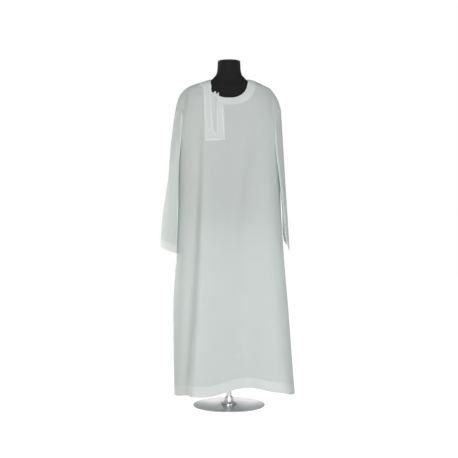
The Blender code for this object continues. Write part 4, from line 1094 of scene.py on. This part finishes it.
# %% Dress the sheets
SHEETS = [
    # what it replaces, (piece, flat size, area), how held, what it rests on, its finishes
    ("front", front_sheet, "hung", "form_torso", (white_cloth, painted_bright_turned_cloth)),
    ("back", back_sheet, "hung", "form_torso", (white_cloth, painted_bright_turned_cloth)),
    ("sleeve_left", left_sheet, "hung", front_sheet[0], (white_cloth, painted_bright_turned_cloth)),
    ("sleeve_right", right_sheet, "hung", front_sheet[0], (white_cloth, painted_bright_turned_cloth)),
    ("neck_band_front", band_front_sheet, "draped", front_sheet[0], (painted_darker_doubled_cloth, painted_bright_turned_cloth)),
    ("neck_band_back", band_back_sheet, "draped", back_sheet[0], (painted_darker_doubled_cloth, painted_bright_turned_cloth)),
    ("placket", placket_sheet, "draped", front_sheet[0], (painted_darker_doubled_cloth, painted_bright_turned_cloth)),
    ("zip_tape_left", tape_left_sheet, "hung", placket_sheet[0], (zip_tape_with_slot_shade,)),
    ("zip_tape_right", tape_right_sheet, "hung", placket_sheet[0], (zip_tape_with_slot_shade,)),
]
for node, (piece, _size, _area), _held, _under, finishes in SHEETS:
    for finish in finishes:
        piece.data.materials.append(finish)
    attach(piece, FORM_BODY)
    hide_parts(node)
print(len(SHEETS), "sheets dressed")


# %% Sew
def seam_lines(name, lines):
    """Loose polylines in one mesh, for a tree to walk along."""
    mesh = bpy.data.meshes.new(name)
    places = np.concatenate(lines)
    ends = np.cumsum([len(line) for line in lines])
    edges = [(i, i + 1) for i in range(len(places) - 1) if i + 1 not in ends]
    mesh.from_pydata(places, edges, [])
    return put_in_scene(name, mesh)


def grown(name, lines, tree, ids, values, slot):
    """The plain mesh that a tree makes along some lines, as a piece that rides on the form."""
    carrier = seam_lines(name + "_lines", lines)
    nodes = carrier.modifiers.new("grow", "NODES")
    nodes.node_group = tree
    for title, value in values.items():
        nodes[ids[title]] = value
    bpy.context.view_layer.update()
    whole = carrier.evaluated_get(bpy.context.evaluated_depsgraph_get())
    mesh = bpy.data.meshes.new_from_object(whole)
    bpy.data.objects.remove(carrier)
    mesh.name = name
    made = put_in_scene(name, mesh)
    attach(made, FORM_BODY)
    print(f"{name}: {len(mesh.polygons)} faces")
    return made


SEAMS = [
    # name, the piece it goes with, its lines
    ("hem_stitches", "front", [front_hem_line, back_hem_line]),
    ("cuff_stitches", "sleeve_left", [left_cuff_line, right_cuff_line]),
    ("neck_band_stitches", "neck_band_front", band_front_lines + band_back_lines),
    ("placket_stitches", "placket", placket_lines),
]
for name, node, lines in SEAMS:
    grown(name, lines, stitch_tree, stitch_inputs, {"Finish": thread_finish},
                           "cloth_white")

# %% Add up the cloth
print("cloth in all:", round(sum(row[1][2] for row in SHEETS), 2), "m2")

# %% [markdown]
# ## The zip's chain
# Two spirals of nylon are sewn to the tapes' edges and mesh when the slider closes them. From
# the face each spiral shows as short bars. The same small ball serves again, drawn out across the
# line this time, and every second one is pushed to the other side.

# %% Teeth along the line
ZIP_TOP, ZIP_FOOT = 1.4185, 1.2485
CHAIN_PROUD, CHAIN_PLACES = 0.0004, 60     # how far its middle stands off; places in its line


def chain_tree():
    """A tree that lays a bar at every pitch along a line, each second one on the other side."""
    tree, given, end, ids = new_tree("zip_chain", [
        ("Zip line", "NodeSocketGeometry", None), ("Pitch", "NodeSocketFloat", 0.00072),
        ("Bar length", "NodeSocketFloat", 0.0030), ("Bar height", "NodeSocketFloat", 0.0013),
        ("Bar width", "NodeSocketFloat", 0.00074), ("Side step", "NodeSocketFloat", 0.00060),
        ("Facing", "NodeSocketVector", (0.0, -1.0, 0.0)), ("Finish", "NodeSocketMaterial", None)])
    points, lie = along_line(tree, given["Zip line"], given["Pitch"])
    face = add_node(tree, "FunctionNodeAlignRotationToVector", {
        "Rotation": lie, "Vector": given["Facing"]}, axis="Y", pivot_axis="Z")
    bar = thread_ball(tree, given["Bar length"], given["Bar height"], given["Bar width"])
    placed = add_node(tree, "GeometryNodeInstanceOnPoints", {
        "Points": points, "Instance": bar, "Rotation": face})
    odd = calculate(tree, "MODULO", add_node(tree, "GeometryNodeInputIndex", {}), 2.0)
    step = calculate(tree, "MULTIPLY", calculate(tree, "MULTIPLY_ADD", odd, 2.0, -1.0),
                     given["Side step"])
    push = add_node(tree, "ShaderNodeCombineXYZ", {"X": step})
    shifted = add_node(tree, "GeometryNodeTranslateInstances", {
        "Instances": placed, "Translation": push})
    finish_tree(tree, end, shifted, given["Finish"])
    return tree, ids


nylon, _tree, _shader = new_finish("white nylon", (0.86, 0.88, 0.87), Roughness=0.38,
                                   Specular_IOR_Level=0.5)
chain_height = np.linspace(ZIP_TOP, ZIP_FOOT, CHAIN_PLACES)
chain_turn = turn_at(-1, zip_x(chain_height), chain_height)
chain_out = body_out(chain_turn, chain_height)
chain_line = body(chain_turn, chain_height) + chain_out * CHAIN_PROUD
chain_facing = tuple(float(v) for v in chain_out.mean(axis=0))
grown("zip_teeth", [chain_line], *chain_tree(), {"Finish": nylon, "Facing": chain_facing},
      "tape_white")

# %% [markdown]
# ## Slider, pull and stop
# These are die-cast and enamelled white. Their solids already have the right shape, so they stay.
# What they lack is the soft edge that casting and enamel leave, and a bevel gives it: a weld first
# joins the loose triangles, and the bevel then rounds only the corners sharper than its limit.


# %% Soft edges for solid parts
def welded(node):
    """A solid whose loose triangles are joined at their corners."""
    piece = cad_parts[node]
    piece.modifiers.new("weld", "WELD").merge_threshold = 0.00001
    return piece


def soften(node, width, segments=2, angle=30):
    """Rounds a solid's edges where they are sharper than the angle."""
    piece = welded(node)
    round_edge = piece.modifiers.new("soft edges", "BEVEL")
    round_edge.width, round_edge.segments = width, segments
    round_edge.limit_method, round_edge.angle_limit = "ANGLE", math.radians(angle)
    round_edge.harden_normals = True
    return piece


def paint(piece, finish):
    """One finish on every face of a piece."""
    slots = piece.data.materials
    if not slots:
        slots.append(finish)
    for index in range(len(slots)):
        slots[index] = finish


def enamel(name, colour):
    """Enamel that pools a little unevenly and is worn smoother in places."""
    finish, tree, shader = new_finish(name, colour, Roughness=0.3, Coat_Weight=0.35,
                                      Coat_Roughness=0.12)
    pool = noise(tree, on_object(tree), 380.0, 2.0)
    roughened(tree, shader, pool, 0.24, 0.40)
    raised(tree, shader, pool, 0.00008, 0.4)
    return finish


white_enamel = enamel("white zip enamel", (0.85, 0.87, 0.86))
for node, width in (("zip_slider", 0.00022), ("zip_pull", 0.00025), ("zip_bottom_stop", 0.00025)):
    paint(soften(node, width), white_enamel)
print("enamelled the slider, pull and stop")

# %% [markdown]
# ## The form and its stand
# The form is a padded torso under black jersey, with a flat cap on the neck. Its solid has the
# right shape in few faces, so a weld and a Subdivision Surface smooth it. The jersey is a fine
# knit, which is columns of small V-shaped loops: waves across the form carry the columns.


# %% Black jersey and cap
FORM_RADIUS = 0.14              # about the form's, for the count of its columns of loops
LOOP_LEAN, LOOP_HEIGHT = 2.4, 0.3      # how far a loop's legs lean, and its height on its column


def knit(name, colour, light, pitch):
    """A fine black knit: columns of loops that catch a little light."""
    finish, tree, shader = new_finish(name, colour, Roughness=0.85, Sheen_Weight=0.04,
                                      Sheen_Roughness=0.4, Specular_IOR_Level=0.25)
    place = on_object(tree)
    across = apart(tree, place)
    turn = calculate(tree, "ARCTAN2", across["Y"], across["X"])
    columns = calculate(tree, "MULTIPLY", turn, math.pi * FORM_RADIUS / pitch)
    lean = calculate(tree, "ABSOLUTE", calculate(tree, "SINE", columns))
    loops = calculate(tree, "MULTIPLY_ADD", across["Z"], 2 * math.pi / pitch,
                      calculate(tree, "MULTIPLY", lean, LOOP_LEAN))
    height = calculate(tree, "MULTIPLY_ADD", calculate(tree, "SINE", loops), LOOP_HEIGHT, lean)
    wire(tree, shader, {"Base Color": tinted(tree, noise(tree, place, 30.0, 4.0), colour, light)})
    raised(tree, shader, height, 0.00025, 0.35)
    return finish


def moulded(name, colour, roughness, grain, depth):
    """Moulded plastic with a fine even grain."""
    finish, tree, shader = new_finish(name, colour, Roughness=roughness)
    pits = noise(tree, on_object(tree), grain, 3.0)
    roughened(tree, shader, pits, roughness - 0.07, roughness + 0.07)
    raised(tree, shader, pits, depth, 0.3)
    return finish


form = welded("form_torso")
smooth = form.modifiers.new("smooth", "SUBSURF")
smooth.levels = smooth.render_levels = 2
paint(form, knit("black jersey", (0.006, 0.006, 0.006), (0.010, 0.010, 0.010), 0.0011))
paint(soften("form_neck_cap", 0.0006),
      moulded("black cap plastic", (0.014, 0.014, 0.015), 0.38, 900.0, 0.00006))
print("jersey on the form, plastic on its cap")

# %% [markdown]
# The stand is steel: a turned base plate and boss, a drawn tube and a collar. Turning leaves fine
# rings round the pole's axis, and drawing leaves lines along the tube, so roughness and bump
# follow each.


# %% Satin steel
DRAWN_LINES, TURNED_RINGS = (60.0, 4.0), (2400.0, 900.0)      # noise across, and up the pole


def satin_steel(name, drawn):
    """Brushed steel whose marks run along the pole, or in rings round its axis."""
    finish, tree, shader = new_finish(name, (0.60, 0.60, 0.61), Metallic=1.0, Roughness=0.3)
    across = apart(tree, on_object(tree))
    if drawn:
        place = calculate(tree, "ARCTAN2", across["Y"], across["X"])
    else:
        squares = calculate(tree, "MULTIPLY_ADD", across["X"], across["X"],
                            calculate(tree, "MULTIPLY", across["Y"], across["Y"]))
        place = calculate(tree, "SQRT", squares)
    fine, fine_up = DRAWN_LINES if drawn else TURNED_RINGS
    marks = add_node(tree, "ShaderNodeCombineXYZ", {
        "X": calculate(tree, "MULTIPLY", place, fine),
        "Y": calculate(tree, "MULTIPLY", across["Z"], fine_up)})
    lines = noise(tree, marks, 1.0, 4.0)
    roughened(tree, shader, lines, 0.22, 0.42)
    wire(tree, shader, {"Base Color": tinted(tree, lines, (0.52, 0.52, 0.53), (0.66, 0.66, 0.67))})
    raised(tree, shader, lines, 0.00003, 0.5)
    return finish


turned_steel, drawn_steel = satin_steel("turned steel", False), satin_steel("drawn steel", True)
for node, finish in (("stand_base", turned_steel), ("stand_boss", turned_steel),
                     ("stand_collar", turned_steel), ("stand_pole", drawn_steel)):
    paint(soften(node, 0.0006), finish)
print("steel on the base, boss, collar and pole")

# %% [markdown]
# ## The studio
# A white robe shows its folds only where the light has a direction, and burns out under a bare sun.
# So every lamp is a wide soft square. One stands in front, a little to the left, and a second
# fills from the right. One hangs overhead, a warm one at the side tints the deep fold, and three
# behind the robe keep the sleeves and the back from going dull. The floor is plain and pale.


# %% Floor and light
LIT = (0.0, 0.0, 0.83)          # where every lamp is aimed
FLOOR_HALF = 9                  # half the floor's width
LAMPS = [
    # name, place, size, power, colour
    ("front lamp", (-0.7, -4.5, 0.95), 1.0, 73, (1.0, 1.0, 1.0)),
    ("right lamp", (2.2, -4.0, 1.0), 1.2, 42, (1.0, 1.0, 1.0)),
    ("top lamp", (0.0, -2.6, 3.6), 1.6, 38, (0.97, 1.0, 1.0)),
    ("left sleeve lamp", (-1.4, 0.8, 1.05), 0.5, 18, (1.0, 1.0, 1.0)),
    ("right sleeve lamp", (1.5, 0.6, 1.05), 0.5, 6, (1.0, 1.0, 1.0)),
    ("warm side lamp", (-3.4, -1.6, 1.3), 1.6, 9, (1.0, 0.80, 0.52)),
    ("back lamp", (0.0, 3.5, 1.3), 1.6, 13, (1.0, 1.0, 1.0)),
]


def aimed(made, place, target):
    """An object put at a place and turned to face a target."""
    made.location = place
    made.rotation_euler = (Vector(target) - Vector(place)).to_track_quat("-Z", "Y").to_euler()
    return made


for name, place, size, power, colour in LAMPS:
    lamp = bpy.data.lights.new(name, "AREA")
    lamp.size, lamp.energy, lamp.color = size, power, colour
    aimed(put_in_scene(name, lamp), place, LIT)
print(len(LAMPS), "soft lamps")

floor_mesh = bpy.data.meshes.new("floor")
corners = [(FLOOR_HALF * x, FLOOR_HALF * y, 0) for x, y in ((-1, -1), (1, -1), (1, 1), (-1, 1))]
floor_mesh.from_pydata(corners, [], [(0, 1, 2, 3)])
floor = put_in_scene("floor", floor_mesh)
pale, _tree, floor_shader = new_finish("pale floor", (0.50, 0.50, 0.50), Roughness=0.9,
                                       Emission_Strength=1.0)
floor_shader.inputs["Emission Color"].default_value = (1, 1, 1, 1)
paint(floor, pale)
floor.visible_diffuse = False

# %% The room
world = bpy.data.worlds.new("pale room")
world.use_nodes = True
room = world.node_tree.nodes["Background"]
wire(world.node_tree, room, {"Color": (0.96, 0.98, 1.0, 1), "Strength": 0.10})
paper = add_node(world.node_tree, "ShaderNodeBackground", {"Color": (1.0, 1.0, 1.0, 1)})
seen = add_node(world.node_tree, "ShaderNodeLightPath", {}, out="Is Camera Ray")
shown = add_node(world.node_tree, "ShaderNodeMixShader", {0: seen, 1: room.outputs[0], 2: paper})
wire(world.node_tree, world.node_tree.nodes["World Output"], {"Surface": shown})
bpy.context.scene.world = world
bpy.context.scene.view_settings.view_transform = "Standard"
bpy.context.scene.view_settings.look = "None"
bpy.context.scene.cycles.diffuse_bounces = 8       # light goes to and fro inside the hollow robe
print("a white room")

# %% Camera
EYE, LOOKED_AT = (0, -4, 0.85), (0, 0, 0.812)
camera_data = bpy.data.cameras.new("camera")
camera_data.lens, camera_data.sensor_width = 68.353, 36
camera = aimed(put_in_scene("camera", camera_data), EYE, LOOKED_AT)
bpy.context.scene.camera = camera
print("camera at", EYE)
